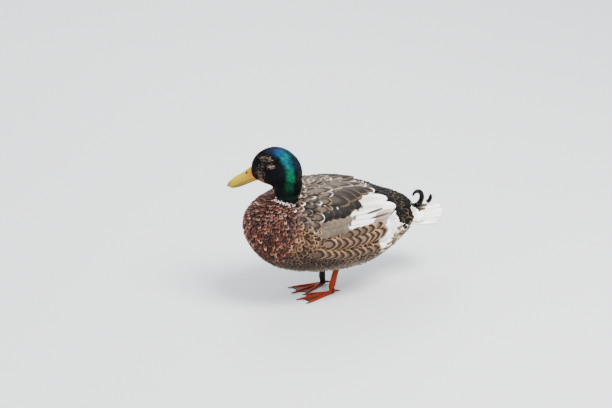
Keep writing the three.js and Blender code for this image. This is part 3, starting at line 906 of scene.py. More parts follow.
BROAD_BLADES = clutch("broad_blades", 4, rows=15, columns=9, widest=0.66, taper=1.6, blunt=2.2,
                      ragged=0.07)
BROWNS, DARKS = ["#5f5247", "#564a40", "#69594b"], ["#1c1410", "#241b16", "#15100d"]
GREYS = ["#736759", "#7a6e60", "#6b6053"]
scapular = feather_finish("grey_brown_scapular", fringe=(0.88, 0.99),
                          mark=(0.4, 0.72, 0.9, 1.0), heart=0.4, barbs=0.3)
rng = np.random.default_rng(51)
SCAPULAR_ROWS = [
    # Short coverts at the bend of the wing, dark ovals edged with brown or white.
    dict(roots=[(50, 50, 146), (46, 62, 158), (38, 76, 168)], count=4, width=12, lift=1.2,
         tips=[(57, 68, 142), (53, 80, 152), (45, 94, 163)],
         tints=(["#4f463f", "#453c36"], ["#d6cec6", "#7b6c5e", "#6d5f52", "#7b6c5e"], DARKS)),
    dict(roots=[(57, 66, 136), (54, 76, 150), (46, 88, 162), (36, 94, 170)], count=5, width=14,
         tips=[(62, 86, 132), (59, 97, 147), (52, 108, 159), (42, 116, 166)], lift=1.3,
         tints=(BROWNS, ["#8c7558", "#75634e", "#dcd3c9"], ["#2e2520", "#362b25"])),
    # Plain grey coverts at the wing's edge.
    dict(roots=[(61, 74, 128), (64, 98, 127)], count=5, width=18, lift=0.9, stack=0.05,
         tips=[(65, 98, 119), (65, 126, 121)], tints=(GREYS, GREYS, GREYS)),
    dict(roots=[(59, 80, 138), (62, 101, 138)], count=4, width=18, lift=1.1, stack=0.05,
         tips=[(65, 106, 128), (64, 132, 132)], tints=(GREYS, GREYS, GREYS)),
    # Lower scapulars, darker than the upper ones.
    dict(roots=[(57, 82, 148), (55, 98, 155), (48, 114, 162)], count=7, width=19, lift=1.6,
         tips=[(62, 98, 142), (62, 126, 142), (56, 152, 149)], stack=0.12,
         tints=(["#211812", "#1a130e"], ["#130d0a", "#211812", "#4a392b"], ["#0d0907"])),
    # Upper scapulars, long and plain.
    dict(roots=[(38, 84, 169), (30, 104, 172), (18, 122, 171)], count=5, width=22, lift=2.2,
         tips=[(53, 134, 156), (46, 160, 155), (30, 188, 155)], stack=0.15,
         tints=(["#4a3f35", "#42382f"], ["#645340", "#705d49"], ["#241c16", "#1e1712"])),
    dict(roots=[(16, 74, 174), (10, 96, 174), (4, 120, 172)], count=4, width=18, lift=1.5,
         tips=[(30, 120, 170), (22, 150, 167), (10, 182, 160)],
         tints=(["#655a4f", "#71665b"], ["#b0a18f", "#8f806f"], ["#352b24", "#28201b"])),
]
tiles("scapular_plumage", SCAPULAR_ROWS, BROAD_BLADES, scapular, rng, slot="wing_plumage",
      seed=52, depth=0.5, camber=0.07, stray=0.05, patch=0.02, thick=0.3)

# ---- White wing feathers -----------------------------------------------------
# Long flight feathers of the folded wing: white, with grey shafts and a painted beige shadow on
# the lowest vanes, over the dusky tips of the primaries.
LONG_BLADES = clutch("long_blades", 3, rows=19, columns=9, widest=0.6, taper=1.9, blunt=2.3,
                     ragged=0.05)
flight = feather_finish("white_flight_feather", fringe=(0.5, 0.95), mark=(-1, -0.9, 0.02, 0.1),
                        heart=0.3, barbs=0.14, shaft=0.55, roughness=0.55)
WHITES = ["#fbf9f7", "#f6f3f0"]
rng = np.random.default_rng(61)
FLIGHT_ROWS = [
    # Primaries, dusky, lowest of all.
    dict(roots=[(56, 150, 130), (44, 160, 142)], count=4, width=13, lift=0.1, stack=0.1,
         tips=[(45, 212, 122), (40, 220, 130)],
         tints=(["#2d2621", "#3a322c"], ["#51473e"], ["#1c1714"])),
    # Secondaries.
    dict(roots=[(66, 96, 115), (64, 112, 128), (58, 124, 143)], count=6, width=17, lift=0.6,
         tips=[(57, 186, 120), (51, 204, 124), (43, 216, 131)], stack=0.16,
         tints=(WHITES, ["#efe8e2", "#fdfcfa"], ["#9b8f86"])),
    # Painted shadow: beige feathers laid over the lowest vanes, at the rear.
    dict(roots=[(65, 146, 116), (61, 152, 127)], count=3, width=13, lift=2.6,
         tips=[(58, 197, 116), (51, 207, 126)],
         tints=(["#a09083", "#938376"], ["#b7a99d"], ["#6a5d53"])),
    # Dusky edges of the primaries that show between the white vanes.
    dict(roots=[(65, 148, 128), (61, 148, 135)], count=2, width=3.4, lift=2.9,
         tips=[(54, 202, 128), (51, 190, 136)],
         tints=(["#5a4f47"], ["#6a5e55"], ["#3b322c"])),
    # Tertials, the longest and uppermost.
    dict(roots=[(58, 118, 146), (44, 128, 160)], count=3, width=18, lift=1.4, stack=0.25,
         tips=[(41, 219, 131), (27, 188, 152)],
         tints=(["#dacdc2", "#e6dcd3"], WHITES, ["#b5a394"])),
]
tiles("wing_plumage", FLIGHT_ROWS, LONG_BLADES, flight, rng, slot="wing_plumage", seed=62,
      depth=0.4, camber=0.05, stray=0.02, patch=0.02, thick=0.35)

# ---- Great flank feathers ----------------------------------------------------
# Three rows of broad feathers that fold up to the wing's lower edge, tan with a dark U round a
# grey-brown heart.
great_flank = feather_finish("great_flank_feather", fringe=(0.8, 0.92),
                             mark=(0.4, 0.6, 0.72, 0.86), heart=0.58, barbs=0.3)
rng = np.random.default_rng(71)
TANS = ["#927455", "#9c7d5d", "#85684a"]
UPPER_TINTS = (["#7c6857", "#6d5a4a"], [*TANS, "#a98a68"], ["#2e2119", "#3a2b21"])
FLANK_ROWS = [
    dict(roots=[(64, 58, 90), (62, 112, 80), (57, 150, 78)], count=9, width=20, lift=1.5,
         tips=[(66, 92, 86), (60, 144, 76), (54, 186, 80)], stack=0.08,
         tints=(["#73604f", "#665445"], TANS, ["#2b1f18", "#362820"])),
    dict(roots=[(66, 76, 104), (66, 120, 98), (60, 158, 98)], count=9, width=21, lift=2.0,
         tips=[(67, 108, 100), (64, 152, 98), (55, 196, 103)], stack=0.08, tints=UPPER_TINTS),
    dict(roots=[(66, 110, 112), (62, 150, 112)], count=5, width=19, lift=2.3, stack=0.05,
         tips=[(66, 138, 111), (57, 190, 115)], tints=UPPER_TINTS),
]
tiles("flank_rows", FLANK_ROWS, BROAD_BLADES, great_flank, rng, slot="body_plumage", seed=72,
      depth=0.5, camber=0.08, stray=0.05, patch=0.018, thick=0.3)

# ---- Rear flank, rump and vent -----------------------------------------------
# Loose white down-edged feathers behind the wing, glossy black over the rump with brown
# edges, white over the tail's root and buff ones streaked with black under it.
rng = np.random.default_rng(81)
white_feather = feather_finish("loose_white_feather", fringe=(0.7, 1.0),
                               mark=(-1, -0.9, 0.05, 0.3), barbs=0.08, roughness=0.7)


def on_rear_flank(places):
    side, station, height = body_place(places)
    low = np.interp(station, [190, 205, 222, 232], [64, 80, 99, 101])
    return ((station > 190) & (station < 222) & (side > 22) & (height > low)
            & (rump_edge(places) < 0) & (height < 136))


roots = scatter(on_rear_flank, spacing=6.0, seed=82)
count = len(roots)
whites = mix_of(["#f6f4f2", "#fbfaf8", "#ebe6e1"], count, rng)
plant("rear_flank_plumage", roots, (whites, whites * 1.04, whites * 0.92), BROAD_BLADES,
      white_feather, rng, slot="body_plumage", seed=83, width=(12, 17), length=(22, 30),
      lift=(0, 0.8), stray=0.14, patch=0.005, camber=0.12)


def on_rump(places):
    side, station, height = body_place(places)
    return (station > 194) & (((station < 250) & (rump_edge(places) > 0))
                              | ((station < 260) & (side < 17) & (height > 96)))


black_feather = feather_finish("black_rump_feather", fringe=(0.7, 0.98),
                               mark=(-1, -0.9, 0.3, 0.6), roughness=0.5, specular=0.1)
roots = scatter(on_rump, spacing=5.2, seed=84)
count = len(roots)
_, station, height = body_place(roots)
blacks = mix_of(["#070606", "#0c0a0a", "#120f0d"], count, rng)
# Old feathers with olive and brown edges lie in two patches.
WORN_PATCHES = [(226, 134, 14), (232, 112, 13)]  # station, height and reach, in mm
worn = np.maximum.reduce([1 - np.hypot(station - s, height - h) / reach
                          for s, h, reach in WORN_PATCHES])
edges = mix_of(["#0c0a0a", "#151210", "#221c17"], count, rng)
olive = mix_of(["#5e5138", "#7b6a4c", "#4c3f31"], count, rng)
edges = np.where((worn + rng.normal(0, 0.25, count) > 0.2)[:, None], olive, edges)
plant("rump_plumage", roots, (blacks, edges, blacks), SMALL_BLADES, black_feather, rng,
      slot="tail_plumage", seed=85, width=rng.uniform(8, 11, count),
      length=rng.uniform(16, 21, count),
      lift=rng.uniform(0, 1.0, count) + 1 - step(height, 110, 130), stray=0.2, patch=0.005)


def on_tail_root(places):
    side, station, height = body_place(places)
    return ((station > 226) & (station < 268) & (rump_edge(places) < 1) & (height > 90)
            & (height < 112) & (side > 15))


roots = scatter(on_tail_root, spacing=5.6, seed=88)
count = len(roots)
whites = mix_of(["#faf8f5", "#f6f3ef", "#e9e0d2"], count, rng, [0.5, 0.35, 0.15])
plant("tail_covert_plumage", roots, (whites, whites * 1.03, whites * 0.92), BROAD_BLADES,
      white_feather, rng, slot="tail_plumage", seed=89, width=(9, 12), length=(20, 27),
      lift=(0, 0.8), stray=0.14, patch=0.005)


def on_vent(places):
    side, station, height = body_place(places)
    rear = height < np.interp(station, [190, 205, 222, 232], [66, 82, 101, 103])
    return ((rear | ((station > 190) & (side < 28))) & (station < 258) & (station > 186)
            & (height < np.interp(station, [232, 240, 258], [103, 95, 86]))
            & (rump_edge(places) < 0))


vent_feather = feather_finish("streaked_vent_feather", fringe=(0.5, 0.9),
                              mark=(-1, -0.9, 0.12, 0.3), heart=0.6)
roots = scatter(on_vent, spacing=5.4, seed=86)
count = len(roots)
buffs = mix_of(["#94846e", "#7d6c56", "#b8ac9c", "#65543f"], count, rng)
darks = mix_of(["#15100d", "#2b2019", "#4d3d2d"], count, rng)
plant("vent_plumage", roots, (buffs, buffs * 1.1, darks), SMALL_BLADES, vent_feather, rng,
      slot="tail_plumage", seed=87, width=(7, 9), length=(17, 23), lift=(0.8, 2.0), stray=0.2,
      patch=0.005)

# ---- Tail --------------------------------------------------------------------
# Stiff white tail feathers in a low fan, the middle pair on top, their ends worn ragged.
TAIL_ROOT = 240  # station, in mm
TAIL_PAIRS = 9
TAIL_BLADES = clutch("tail_blades", 4, rows=17, columns=9, widest=0.7, taper=2.2, blunt=2.6,
                     ragged=0.13)
rectrix = feather_finish("white_tail_feather", fringe=(0.8, 1.0), mark=(-1, -0.9, 0.02, 0.1),
                         heart=0.2, barbs=0.12, shaft=0.5, roughness=0.55)
rng = np.random.default_rng(91)


def straight(ends):
    """The middles, the ways and the lengths in mm of feathers from the side, station and height
    of their roots and tips."""
    roots, tips = np.array(ends, float).swapaxes(0, 1) * MM + (MIDDLE, BREAST, 0)
    return (roots + tips) / 2, tips - roots, np.linalg.norm(tips - roots, axis=1) / MM


tail_end = (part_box("tail")[1].y - BREAST) / MM
ends, outs = [], []
for i in range(2 * TAIL_PAIRS):
    out = (i - TAIL_PAIRS + 0.5) / TAIL_PAIRS  # -1 at the bird's right edge, 1 at its left
    sag = 4.5 * abs(out)
    ends.append([(29 * out, TAIL_ROOT, 108 - 7 * out ** 2 - sag),
                 (35 * out, tail_end - 1 - 25 * abs(out) ** 1.7, 99 - 6.5 * out ** 2 - sag)])
    outs.append((0.5 * out, 0.12, 1.0))
roots, lies, lengths = straight(ends)
count = len(roots)
whites = mix_of(["#f8f6f3", "#f3efe9"], count, rng)
warm = mix_of(["#e9dcc6", "#f5f2ee", "#f8f7f5"], count, rng)
tail = plant("tail_plumage", roots, (whites, warm, mix_of(["#c9beae"], count, rng)), TAIL_BLADES,
             rectrix, rng, slot="tail_plumage", seed=92, width=15.0, length=lengths,
             lift=rng.normal(0, 0.3, count), lie=lies, outward=unit(np.array(outs)), depth=0.0,
             camber=0.09, thick=0.3, hug=0.0, stray=0.02, patch=0.03)
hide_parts("tail")

# Dark coverts run out along the tail's middle, under the curls: a lower and an upper tier.
TIERS = [(300, 104.5, 110), (282, 107.5, 112.5)]  # end station, height there and at the root
TIER_SIDES = (-15, -9, -3, 3, 9, 15)
ends = []
for tier, (end, tip_height, root_height) in enumerate(TIERS):
    for side in TIER_SIDES:
        side += 3 * tier - 1.5
        ends.append([(side, TAIL_ROOT, root_height - 0.3 * abs(side)),
                     (1.1 * side, end - 1.2 * abs(side), tip_height - 0.28 * abs(side))])
roots, lies, lengths = straight(ends)
count = len(roots)
worn = np.arange(count) < len(TIER_SIDES)  # the lower tier, olive-brown at its ends
plant("dark_tail_coverts", roots,
      (mix_of(["#0f0c0a", "#191411"], count, rng),
       np.where(worn[:, None], mix_of(["#6b5a42", "#54472f"], count, rng),
                mix_of(["#14100e", "#241d18"], count, rng)),
       mix_of(["#0b0909"], count, rng)), LONG_BLADES, black_feather, rng,
      slot="tail_plumage", seed=93, width=10.0, length=lengths, lift=(0, 0.8), lie=lies,
      outward=np.tile((0.0, 0.1, 1.0), (count, 1)), depth=0.0, hug=0.0, camber=0.12,
      thick=0.3, stray=0.05, patch=0.01)

# ---- Hood --------------------------------------------------------------------
# Velvet-short feathers over head and neck. Most are black, with a painted sheen of purple, teal
# and emerald on crown, nape and neck side; in moult the face is flecked with grey and buff.
TUFT_BLADES = clutch("tuft_blades", 3, rows=5, columns=3, widest=0.55, taper=1.7, blunt=1.8,
                     ragged=0.2)
hood_feather = feather_finish("iridescent_hood_feather", fringe=(0.8, 1.0),
                              mark=(-1, -0.9, 0.1, 0.3), barbs=0.3, roughness=0.38,
                              metallic=0.4, specular=0.15)


def spot_on(local, centre, reach):
    """1 in the heart of a patch of the head given by its middle and reach in mm, 0 outside. It
    lies on both sides alike."""
    mirrored = np.stack([np.abs(local[:, 0]), local[:, 1], local[:, 2]], 1)
    apart = np.linalg.norm((mirrored - centre) / np.array(reach, float), axis=1)
    return 1 - step(apart, 0.5, 1.5)


BILL_CLEAR, EYE_CLEAR = 10, 5.2  # no feathers nearer than this to bill and eye, in mm


def on_hood(places):
    station, local = body_place(places)[1], head_local(places)
    bill = np.linalg.norm(local - (0, -6, -5), axis=1)
    eye = np.minimum.reduce([np.linalg.norm(places - e, axis=1) for e in EYES]) / MM
    return (hood_edge(places) > -2) & (station < 122) & (bill > BILL_CLEAR) & (eye > EYE_CLEAR)


EYES = [np.array((a + b) / 2) for a, b in (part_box("eye_left"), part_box("eye_right"))]
rng = np.random.default_rng(101)
roots = scatter(on_hood, seed=102,
                spacing=lambda p: 1.1 + 0.55 * step(head_local(p)[:, 1], 20, 60))
count = len(roots)
local = head_local(roots)
tone = mix_of(["#030304", "#070808", "#050707"], count, rng)
PAINTED_SHEENS = [
    # Painted sheen, crown over nape to the side of the neck: colour, middle, reach and fullness.
    ("#26304f", (6, 34, 32), (11, 14, 7), 1.0),
    ("#1f5f86", (9, 46, 29), (8, 9, 7), 1.0),
    ("#0d7478", (11, 54, 22), (9, 8, 9), 1.0),
    ("#0d6a70", (12, 60, 11), (9, 8, 11), 1.0),
    ("#0b2c3e", (5, 65, 11), (6, 6, 14), 0.9),
    ("#0e7d5e", (17, 61, -6), (7, 6, 13), 1.0),
    ("#0b5a42", (15, 56, -20), (7, 7, 12), 1.0),
    ("#0d2c22", (14, 50, -36), (10, 14, 12), 0.8),
    ("#101c2c", (20, 44, 2), (9, 10, 10), 0.5),
]
for code, centre, reach, share in PAINTED_SHEENS:
    tone = laid(tone, code, spot_on(local, centre, reach) * share)
tone *= rng.uniform(0.55, 1.45, (count, 1))
flecks = rng.random(count)
buff = mix_of(["#7f6f62", "#a08c7c", "#4c3f38"], count, rng)
MOULTED = [
    # Over the eye, behind it, under it and at the bill: middle, reach and share of feathers.
    ((15, 24, 21.5), (6, 15, 3.4), 0.75),
    ((20, 33, 12), (6, 9, 4), 0.6),
    ((17, 20, 9), (6, 8, 8), 0.3),
    ((16, 13, -2), (7, 8, 7), 0.5),
]
for centre, reach, share in MOULTED:
    flecked = (spot_on(local, centre, reach) * share > flecks)[:, None]
    tone = np.where(flecked, buff, tone)
# A rusty patch behind the corner of the mouth.
tone = laid(tone, "#b07a4c", spot_on(local, (14, 12, -12), (5, 5, 4)) * (flecks < 0.7))
neck_share = step(local[:, 1], 20, 60)
plant("hood_plumage", roots, (tone, tone * 1.15, tone * 0.7), TUFT_BLADES, hood_feather, rng,
      slot="head_plumage", seed=103, width=1.25 + 0.75 * neck_share,
      length=4.4 + 2.4 * neck_share, lift=(0, 0.35), depth=0.55, thick=0.12, stray=0.2)

# White ring at the foot of the hood, broken at the throat and at the nape.
white_ring = feather_finish("white_ring_feather", fringe=(0.8, 1.0), mark=(-1, -0.9, 0.02, 0.1),
                            barbs=0.08)


def on_ring(places):
    above, turn = hood_edge(places), np.abs(round_neck(places))
    return (above > -1.8) & (above < 0.2) & (turn > 14) & (turn < 74)


roots = scatter(on_ring, spacing=1.9, seed=111)
rng = np.random.default_rng(112)
count = len(roots)
whites = mix_of(["#f6f4f2", "#e9e5e1", "#b9b0a8"], count, rng, [0.6, 0.3, 0.1])
plant("ring_plumage", roots, (whites, whites, whites * 0.9), TUFT_BLADES, white_ring, rng,
      slot="head_plumage", seed=113, width=(2.0, 3.0), length=(4.5, 6.5), lift=(0.6, 1.3),
      stray=0.3)

# ---- Bill --------------------------------------------------------------------
# Horn under a thin leathery skin, yellow with an orange base: two pits for nostrils high up at
# its root, the line of the mouth down each side and a hard greenish nail at the tip.
BILL_MESH = 0.45 * MM
BILL_LENGTH, BILL_TILT = 53, math.radians(17.5)  # in mm, and down from the head
NOSTRIL_AT, NOSTRIL_SIZE = (5.7, -11.5), (2.4, 3.2)  # out and along the bill, in mm
NAIL_AT, NAIL_SIZE = (0, -51), (4.2, 6.5)
STAIN_AT, STAIN_SIZE = (6.5, -45.5), (3.4, 4.42)
bill_place = (head_place @ Matrix.Translation(BILL_AT)
              @ Matrix.Rotation(BILL_TILT, 4, "X"))


def gauss(x, width):
    """1 at 0, falling off smoothly over the width."""
    return np.exp(-(x / width) ** 2)


def oval(x, y, centre, size):
    """How far places are from the middle of an oval, as a share of its half size."""
    return np.hypot((x - centre[0]) / size[0], (y - centre[1]) / size[1])


bill = worked(cad_copy("bill", ("bill_upper", "bill_lower")), "REMESH", mode="VOXEL",
              voxel_size=BILL_MESH)
bill = worked(largest_body(bill), "SMOOTH", factor=0.5, iterations=12)
places, outward = points_of(bill), points_of(bill, "normal")
x, y, z = own_frame(places, bill_place).T
out = own_frame(places + outward * MM, bill_place) - np.stack([x, y, z], 1)
far = np.clip(-y / BILL_LENGTH, 0, 1)
mouth = -5.8 - 2.2 * np.sin(math.pi * far) * far - 0.25
rim = gauss(z - mouth, 0.55) * step(np.abs(out[:, 0]) + np.clip(-out[:, 1], 0, 1), 0.3, 0.7)
nostril = gauss(oval(np.abs(x), y, NOSTRIL_AT, NOSTRIL_SIZE), 1) * (z > -1)
pit = step(nostril, 0.45, 0.8)
from_nail = oval(x, y, NAIL_AT, NAIL_SIZE)
nail = (1 - step(from_nail, 0.85, 1.05)) * (z > mouth)
nail_groove = gauss(from_nail - 1.05, 0.1) * (z > mouth)
culmen = gauss(np.abs(x) - 3.4, 1.3) * step(y, -30, -12) * (z > 0)
nostril_rim = gauss(nostril - 0.3, 0.12)
move = (-0.55 * rim - 1.5 * pit + 0.22 * nostril_rim + 0.4 * nail - 0.22 * nail_groove
        - 0.25 * culmen)
places += outward * (move * MM)[:, None]
bill.data.vertices.foreach_set("co", places.ravel())
bill.data.shade_smooth()
tone = np.tile(shade("#967a00"), (len(places), 1))
tone = laid(tone, "#a59300", step(z, -5, 3) * (1 - step(y, -14, -4)))
tone = laid(tone, "#bd5a08", 0.8 * step(y, -17, -3) * (1 - step(z, 2, 7)) * step(z, -7, -2))
# Duller below the mouth, and nearly black under its line along the middle: partly the lower bill's
# own colour, partly painted shade under the upper bill.
tone = laid(tone, "#8a6c0a", 0.7 * (1 - step(z, -8.5, -6)))
tone = laid(tone, "#2f2a10", 0.85 * (1 - step(z - mouth, -3.4, -0.6)) * step(-y, 8, 30))
tone = laid(tone, "#8c8a1e", 0.5 * step(-y, 34, 48) * (z > mouth))
tone = laid(tone, "#4c4a20", 0.85 * nail)
# A dark stain beside the nail.
stain = gauss(oval(x, y, STAIN_AT, STAIN_SIZE), 1) * (z > -5)
tone = laid(tone, "#302f1c", 0.75 * stain)
tone = laid(tone, "#2c2312", 0.8 * rim)
# Painted shade: the nostril pits are painted nearly black, for the dark inside the openings.
tone = laid(tone, "#0d0a06", pit)
paint(bill, "tint", tone)
# Leathery horn: fine pores, faint mottling and a low waxy gloss.
horn, tree, shader = material("waxy_yellow_bill")
tint = add(tree, "ShaderNodeAttribute", output="Color", attribute_name="tint")
spot = add(tree, "ShaderNodeTexCoord", output="Object")
cloudy = add(tree, "ShaderNodeTexNoise", {"Vector": spot, "Scale": 0.3 / MM, "Detail": 4.0},
             "Fac")
pores = add(tree, "ShaderNodeTexVoronoi", {"Vector": spot, "Scale": 1 / (0.7 * MM)}, "Distance")
share = add(tree, "ShaderNodeMapRange", {"Value": cloudy, "From Min": 0.4, "From Max": 0.75,
                                         "To Max": 0.4})
mottled = add(tree, "ShaderNodeMix", {"Factor": share, "A": tint, "B": colour("#8a6a1c")},
              data_type="RGBA")
bump = add(tree, "ShaderNodeBump", {"Strength": 0.25, "Distance": 0.1 * MM, "Height": pores})
fill(shader, {"Base Color": mottled, "Normal": bump, "Roughness": 0.42,
              "Specular IOR Level": 0.22})
bill.data.materials.append(horn)
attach(bill, "root")
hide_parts("bill_upper", "bill_lower")

# ---- Eyes and lids -----------------------------------------------------------
# Wet dark brown eyes with a black pupil, sunk in the head for most of their depth. Each is
# held by an oval rim of dark bare skin.
EYE_RADIUS = 5.2 * MM
PUPIL = 2.4  # in mm
LID_LONG, LID_TALL, LID_THICK = 4.7 * MM, 3.9 * MM, 0.75 * MM
LID_STEPS, LID_SIDES = 40, 10
# Wet and as smooth as glass: a black pupil in an iris of very dark brown.
eyeball, tree, shader = material("wet_dark_eye")
spot = add(tree, "ShaderNodeAttribute", output="Fac", attribute_name="from_pupil")
iris = add(tree, "ShaderNodeMapRange", {"Value": spot, "From Min": PUPIL - 0.1,
                                        "From Max": PUPIL + 0.1})
tone = add(tree, "ShaderNodeMix", {"Factor": iris, "A": colour("#060505"),
                                   "B": colour("#130a05")}, data_type="RGBA")
fill(shader, {"Base Color": tone, "Roughness": 0.1, "Specular IOR Level": 0.07})
# Bare skin, dark and finely wrinkled.
lid_skin, tree, shader = material("dark_lid_skin")
wrinkles = add(tree, "ShaderNodeTexNoise", {"Scale": 1.4 / MM, "Detail": 3.0}, "Fac")
bump = add(tree, "ShaderNodeBump", {"Strength": 0.4, "Distance": 0.2 * MM, "Height": wrinkles})
fill(shader, {"Base Color": colour("#171311"), "Normal": bump, "Roughness": 0.5,
              "Specular IOR Level": 0.2})

for name, centre, hand in (("left", EYES[0], 1), ("right", EYES[1], -1)):
    bm = bmesh.new()
    bmesh.ops.create_uvsphere(bm, u_segments=48, v_segments=32, radius=EYE_RADIUS)
    bmesh.ops.translate(bm, verts=bm.verts, vec=centre)
    ball = new_object(f"{name}_eye", bm)
    ball.data.shade_smooth()
    look, forth, rise = (unit(np.array(head_place.to_3x3() @ Vector(way)))
                         for way in ((hand, -0.12, 0.02), (0, -1, 0), (0, 0, 1)))
    spots = (points_of(ball) - centre) / MM
    aside = np.linalg.norm(spots - (spots @ look)[:, None] * look, axis=1)
    store(ball.data, "from_pupil", np.where(spots @ look > 0, aside, 2 * PUPIL))
    ball.data.materials.append(eyeball)
    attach(ball, "root")
    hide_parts(f"eye_{name}")

    # The lids: one closed rim that lies on the eyeball.
    bm = bmesh.new()
    rings = []
    for i in range(LID_STEPS):
        a = 2 * math.pi * i / LID_STEPS
        flat = forth * LID_LONG * math.cos(a) + rise * LID_TALL * math.sin(a)
        middle = centre + flat + look * math.sqrt(EYE_RADIUS ** 2 - flat @ flat)
        away = unit(middle - centre)
        aside = unit(np.cross(away, np.cross(flat, look)))
        thick = LID_THICK * (1 + 0.35 * max(math.sin(a), 0))
        turns = 2 * math.pi * np.arange(LID_SIDES) / LID_SIDES
        rings.append([bm.verts.new(middle + thick * (away * math.cos(b) * 0.7
                                                     + aside * math.sin(b))) for b in turns])
    for i, ring in enumerate(rings):
        after = rings[(i + 1) % LID_STEPS]
        for k in range(LID_SIDES):
            m = (k + 1) % LID_SIDES
            bm.faces.new((ring[k], ring[m], after[m], after[k]))
    bmesh.ops.recalc_face_normals(bm, faces=bm.faces)
    lids = new_object(f"{name}_lids", bm)
    lids.data.shade_smooth()
    lids.data.materials.append(lid_skin)
    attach(lids, "root")

# ---- Legs and feet -----------------------------------------------------------
# Bare orange legs with rows of small plates down the shank and along each toe, and duller
# pebbled webs between the three front toes. The shanks are painted darker toward the belly, in
# painted shade, and the right shank and ankle are painted nearly black: partly dark mud, partly
# the painted shadow of the body.
LEG_MESH = 0.6 * MM
TOE_PLATE, SHANK_PLATE = 2.1, 2.6  # from one plate to the next, in mm
SHANK_LOW, SHANK_HIGH = 10 * MM, 14 * MM  # the shank's middle is found between these heights
TOE_EDGE, WEB_EDGE = 2.2, 3.2  # where a toe ends and its web begins, in mm from its middle
# Scaly skin: sunk seams between the plates, pebbles on the web and a low gloss.
leg_skin, tree, shader = material("scaly_orange_leg_skin")
tint = add(tree, "ShaderNodeAttribute", output="Color", attribute_name="tint")
reach = add(tree, "ShaderNodeAttribute", output="Fac", attribute_name="plates")
bare = add(tree, "ShaderNodeAttribute", output="Fac", attribute_name="web")
spot = add(tree, "ShaderNodeTexCoord", output="Object")
uneven = add(tree, "ShaderNodeTexNoise", {"Vector": spot, "Scale": 0.5 / MM, "Detail": 3.0},
             "Fac")
row = add(tree, "ShaderNodeMath", (reach, uneven), operation="ADD")
saw = add(tree, "ShaderNodeMath", (row,), operation="FRACT")
seam = add(tree, "ShaderNodeMapRange", {"Value": saw, "From Min": 0.0, "From Max": 0.22})
pebbles = add(tree, "ShaderNodeTexVoronoi", {"Vector": spot, "Scale": 1 / (1.1 * MM)},
              "Distance")
height = add(tree, "ShaderNodeMix", {"Factor": bare, "A": seam, "B": pebbles})
darker = add(tree, "ShaderNodeMix", {"Factor": height, "A": colour("#8d7468"),
                                     "B": colour("#ffffff")}, data_type="RGBA")
tone = add(tree, "ShaderNodeMix", {"Factor": 1.0, "A": tint, "B": darker}, data_type="RGBA",
           blend_type="MULTIPLY")
bump = add(tree, "ShaderNodeBump", {"Strength": 0.6, "Distance": 0.25 * MM, "Height": height})
fill(shader, {"Base Color": tone, "Normal": bump, "Roughness": 0.5, "Specular IOR Level": 0.15})

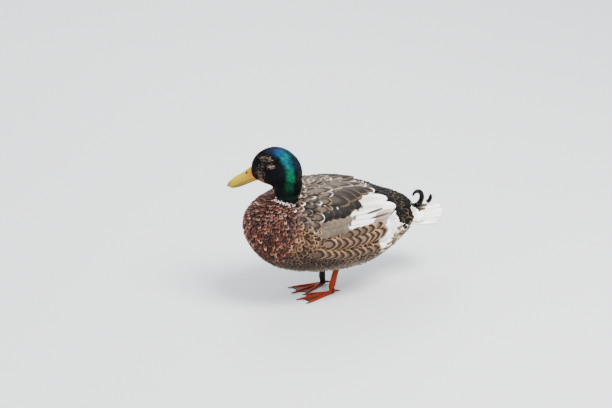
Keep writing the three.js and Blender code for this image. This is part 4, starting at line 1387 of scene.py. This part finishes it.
TOES = ("outer", "middle", "inner", "hind")
for name in ("left", "right"):
    leg = worked(cad_copy(f"{name}_leg", (f"leg_{name}", f"foot_{name}")), "REMESH",
                 mode="VOXEL", voxel_size=LEG_MESH)
    leg = worked(largest_body(leg), "SMOOTH", factor=0.5, iterations=6)
    spots = points_of(leg)
    spots[:, 2] = np.maximum(spots[:, 2], 0)
    leg.data.vertices.foreach_set("co", spots.ravel())
    shank = spots[(spots[:, 2] > SHANK_LOW) & (spots[:, 2] < SHANK_HIGH)].mean(0)
    apart, along = np.full(len(spots), 1e9), np.zeros(len(spots))
    for toe in TOES:
        a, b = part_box(f"claw_{name}_{toe}")
        tip = (np.array(a) + np.array(b)) / 2
        way = (tip - shank)[:2]
        far = np.linalg.norm(way)
        way /= far
        offset = (spots - shank)[:, :2]
        gone = offset @ way
        aside = np.linalg.norm(offset - np.clip(gone, 0, far)[:, None] * way, axis=1)
        nearer = aside < apart
        apart = np.where(nearer, aside, apart)
        along = np.where(nearer, gone, along)
    climb = step(spots[:, 2] / MM, 8, 13)
    web = step(apart / MM, TOE_EDGE, WEB_EDGE) * (1 - climb)
    along = along / MM / TOE_PLATE * (1 - climb) + spots[:, 2] / MM / SHANK_PLATE * climb
    store(leg.data, "plates", along + 40)
    store(leg.data, "web", web)
    tone = np.tile(shade("#7a2100"), (len(spots), 1))
    tone = laid(tone, "#3a1608", 0.85 * web)
    # Painted shade: the shanks are painted darker upward, toward the belly.
    tone = laid(tone, "#521c06", 0.6 * step(spots[:, 2] / MM, 24, 44))
    # Painted shadow of the body, with dark mud: the right shank and ankle are painted nearly black.
    if name == "right":
        beside = np.linalg.norm((spots - shank)[:, :2], axis=1) / MM
        dark = step(spots[:, 2] / MM, 1, 6) * (1 - step(beside, 7, 12))
        tone = laid(tone, "#060302", 0.98 * dark)
    paint(leg, "tint", tone)
    leg.data.shade_smooth()
    leg.data.materials.append(leg_skin)
    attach(leg, "root")
    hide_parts(f"leg_{name}", f"foot_{name}")

# ---- Claws -------------------------------------------------------------------
# Eight short dark claws, one at the end of each toe: horn, worn smooth and blunt, with a dull
# polish.
claw_horn, tree, shader = material("dark_claw_horn")
fill(shader, {"Base Color": colour("#241a14"), "Roughness": 0.35})
claw_nodes = [f"claw_{name}_{toe}" for name in ("left", "right") for toe in TOES]
claws = worked(cad_copy("claws", claw_nodes), "SUBSURF", levels=2, render_levels=2)
claws.data.shade_smooth()
claws.data.materials.append(claw_horn)
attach(claws, "root")
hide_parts(*claw_nodes)

# ---- Curls -------------------------------------------------------------------
# Two narrow central tail coverts of a drake, rolled up and forward: stiff, glossy and black,
# with their barbs held close to the shaft.
curl_vane, tree, shader = material("glossy_black_curl")
spot = add(tree, "ShaderNodeTexCoord", output="Object")
barbs = add(tree, "ShaderNodeTexNoise", {"Vector": spot, "Scale": 1.2 / MM, "Detail": 2.0}, "Fac")
bump = add(tree, "ShaderNodeBump", {"Strength": 0.3, "Distance": 0.2 * MM, "Height": barbs})
fill(shader, {"Base Color": colour("#040405"), "Normal": bump, "Roughness": 0.4,
              "Specular IOR Level": 0.12})
CURL_SWELL = 0.9 * MM  # what the rounding takes off
for name in ("long", "short"):
    curl = worked(cad_copy(f"{name}_curl", (f"tail_curl_{name}",)), "SUBSURF", levels=2,
                  render_levels=2)
    curl.data.vertices.foreach_set(
        "co", (points_of(curl) + points_of(curl, "normal") * CURL_SWELL).ravel())
    curl.data.shade_smooth()
    curl.data.materials.append(curl_vane)
    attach(curl, "root")
    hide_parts(f"tail_curl_{name}")

# ---- Clearing away -----------------------------------------------------------
# The outline was only a form to lay the feathers on.
bpy.data.objects.remove(outline)
